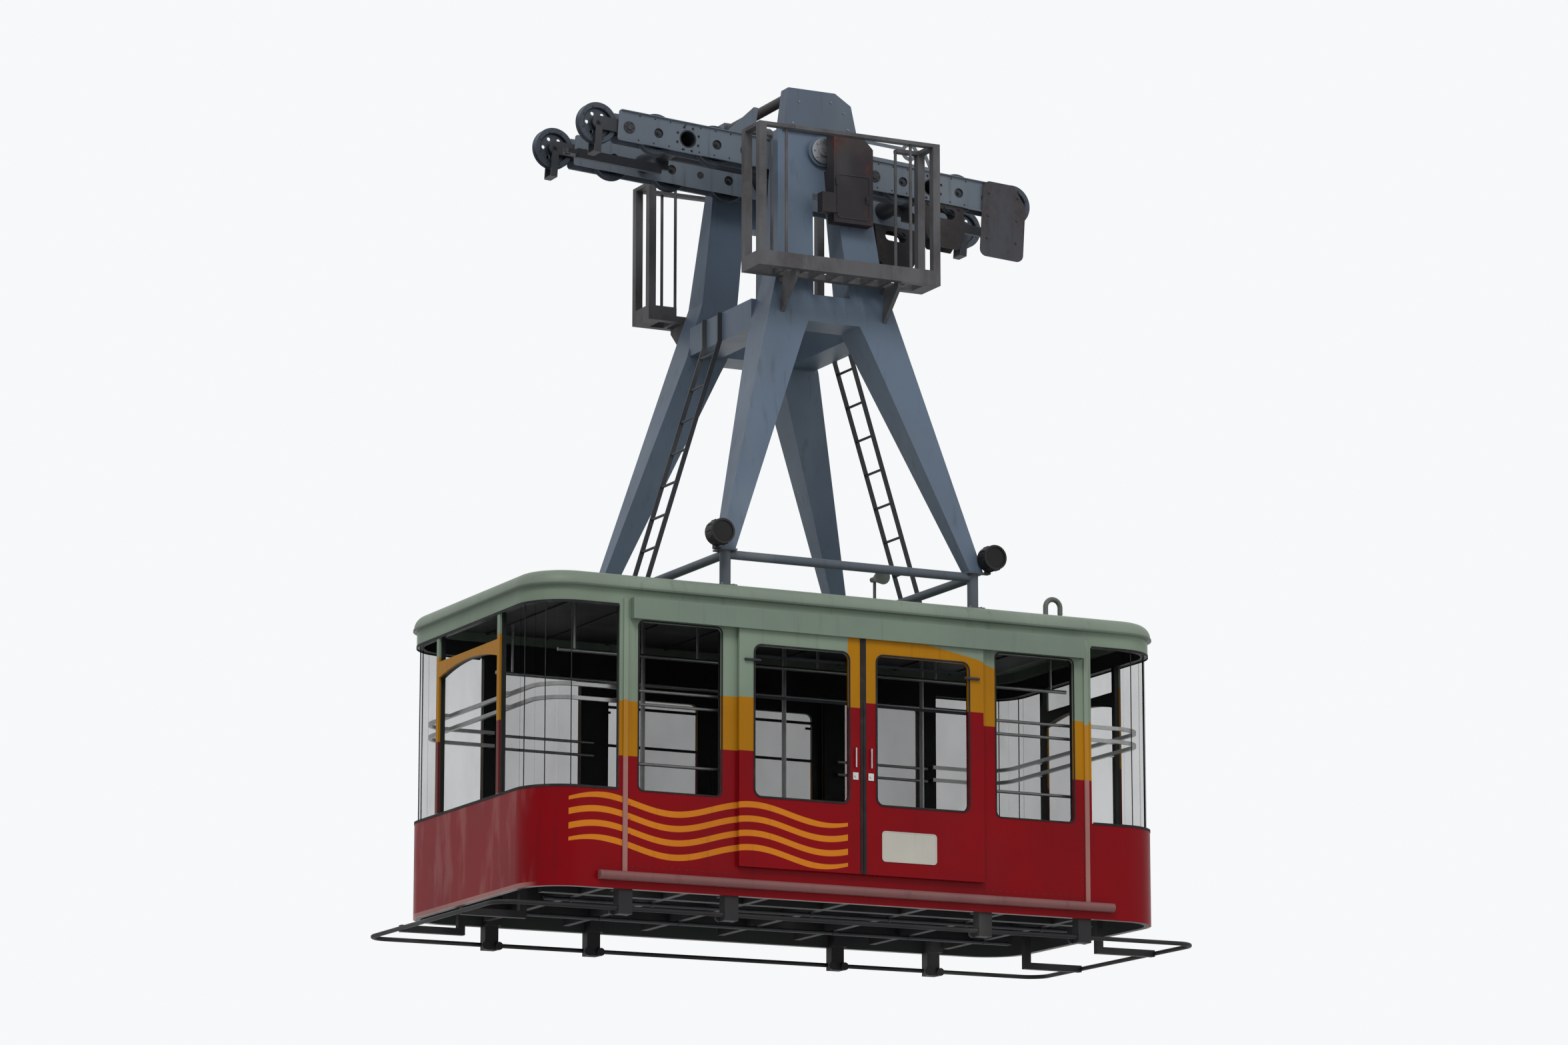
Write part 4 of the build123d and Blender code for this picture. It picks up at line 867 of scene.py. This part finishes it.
def underside_pipes():
    """Two cable conduits under the frame, held by saddles."""
    bm = bmesh.new()
    for y in (-0.5, 0.5):
        add_rod(bm, (-2.4, y, CONDUIT_Z), (2.4, y, CONDUIT_Z), 0.016, CAB, 14)
        for i in range(7):
            x = -2.16 + 0.72 * i
            add_box(bm, (x - 0.02, y - 0.035, 0.03), (x + 0.02, y + 0.035, 0.022))
            add_rod(bm, (x - 0.014, y, CONDUIT_Z), (x + 0.014, y, CONDUIT_Z), 0.02, CAB, 14)
    piece("underside_pipes", bm, dark_steel_and_shade, "cabin")


beam_bolts()
axle_nuts()
wheel_bolts()
head_bolts()
box_fittings()
post_bolts()
lamp_fronts()
roof_trim()
window_seals()
glass_joints()
panel_rivets()
door_details()
blank_plate()
ceiling_lining()
inner_rails()
underside_pipes()

bpy.context.scene.view_settings.view_transform = "Standard"

# The camera stands where the photograph was taken from, and aims at the middle of the object.
EYE = BASE + Vector((-19.6, -39.1, -5.5))


def add_camera():
    cam = bpy.data.objects.new("camera", bpy.data.cameras.new("camera"))
    bpy.context.scene.collection.objects.link(cam)
    cam.data.sensor_width = 36
    cam.data.lens = 122
    cam.location = EYE
    cam.rotation_mode = "QUATERNION"
    cam.rotation_quaternion = ((cad_lo + cad_hi) / 2 - EYE).to_track_quat("-Z", "Y")
    cam.data.clip_end = 500
    bpy.context.scene.camera = cam


def add_floor():
    """A plain pale floor just under the level of the camera."""
    bm = bmesh.new()
    bmesh.ops.create_circle(bm, cap_ends=True, segments=96, radius=10.0)
    ground = bpy.data.meshes.new("floor")
    bm.to_mesh(ground)
    bm.free()
    floor = bpy.data.objects.new("floor", ground)
    floor.location = (0, 0, EYE.z - 0.1)
    bpy.context.scene.collection.objects.link(floor)
    n = Nodes("floor_pale")
    n.set(Base_Color=n.mix(n.noise(0.6), rgb(236, 236, 234), rgb(244, 244, 242)), Roughness=0.8)
    ground.materials.append(n.mat)


def add_world():
    """Soft grey-blue light all round, seen as a plain pale background."""
    world = bpy.data.worlds.new("world")
    bpy.context.scene.world = world
    world.use_nodes = True
    tree = world.node_tree
    tree.nodes.clear()
    path = tree.nodes.new("ShaderNodeLightPath")
    seen = path.outputs["Is Camera Ray"]
    for other in ("Is Transmission Ray", "Is Glossy Ray"):
        either = tree.nodes.new("ShaderNodeMath")
        either.operation = "MAXIMUM"
        tree.links.new(seen, either.inputs[0])
        tree.links.new(path.outputs[other], either.inputs[1])
        seen = either.outputs[0]
    soft = tree.nodes.new("ShaderNodeBackground")
    soft.inputs["Color"].default_value = (0.9, 0.92, 0.95, 1)
    soft.inputs["Strength"].default_value = 0.55
    plain = tree.nodes.new("ShaderNodeBackground")
    plain.inputs["Color"].default_value = (0.93, 0.94, 0.95, 1)
    plain.inputs["Strength"].default_value = 1.0
    blend = tree.nodes.new("ShaderNodeMixShader")
    tree.links.new(seen, blend.inputs[0])
    tree.links.new(soft.outputs[0], blend.inputs[1])
    tree.links.new(plain.outputs[0], blend.inputs[2])
    out = tree.nodes.new("ShaderNodeOutputWorld")
    tree.links.new(blend.outputs[0], out.inputs["Surface"])


def add_sun(name, azimuth, elevation, energy, angle):
    lamp = bpy.data.objects.new(name, bpy.data.lights.new(name, "SUN"))
    lamp.data.energy = energy
    lamp.data.angle = math.radians(angle)
    a, e = math.radians(azimuth), math.radians(elevation)
    away = Vector((math.sin(a) * math.cos(e), -math.cos(a) * math.cos(e), math.sin(e)))
    lamp.rotation_mode = "QUATERNION"
    lamp.rotation_quaternion = away.to_track_quat("Z", "Y")
    bpy.context.scene.collection.objects.link(lamp)


add_camera()
add_floor()
add_world()
add_sun("key", -35, 48, 1.7, 25)
add_sun("fill", 40, 20, 0.5, 60)
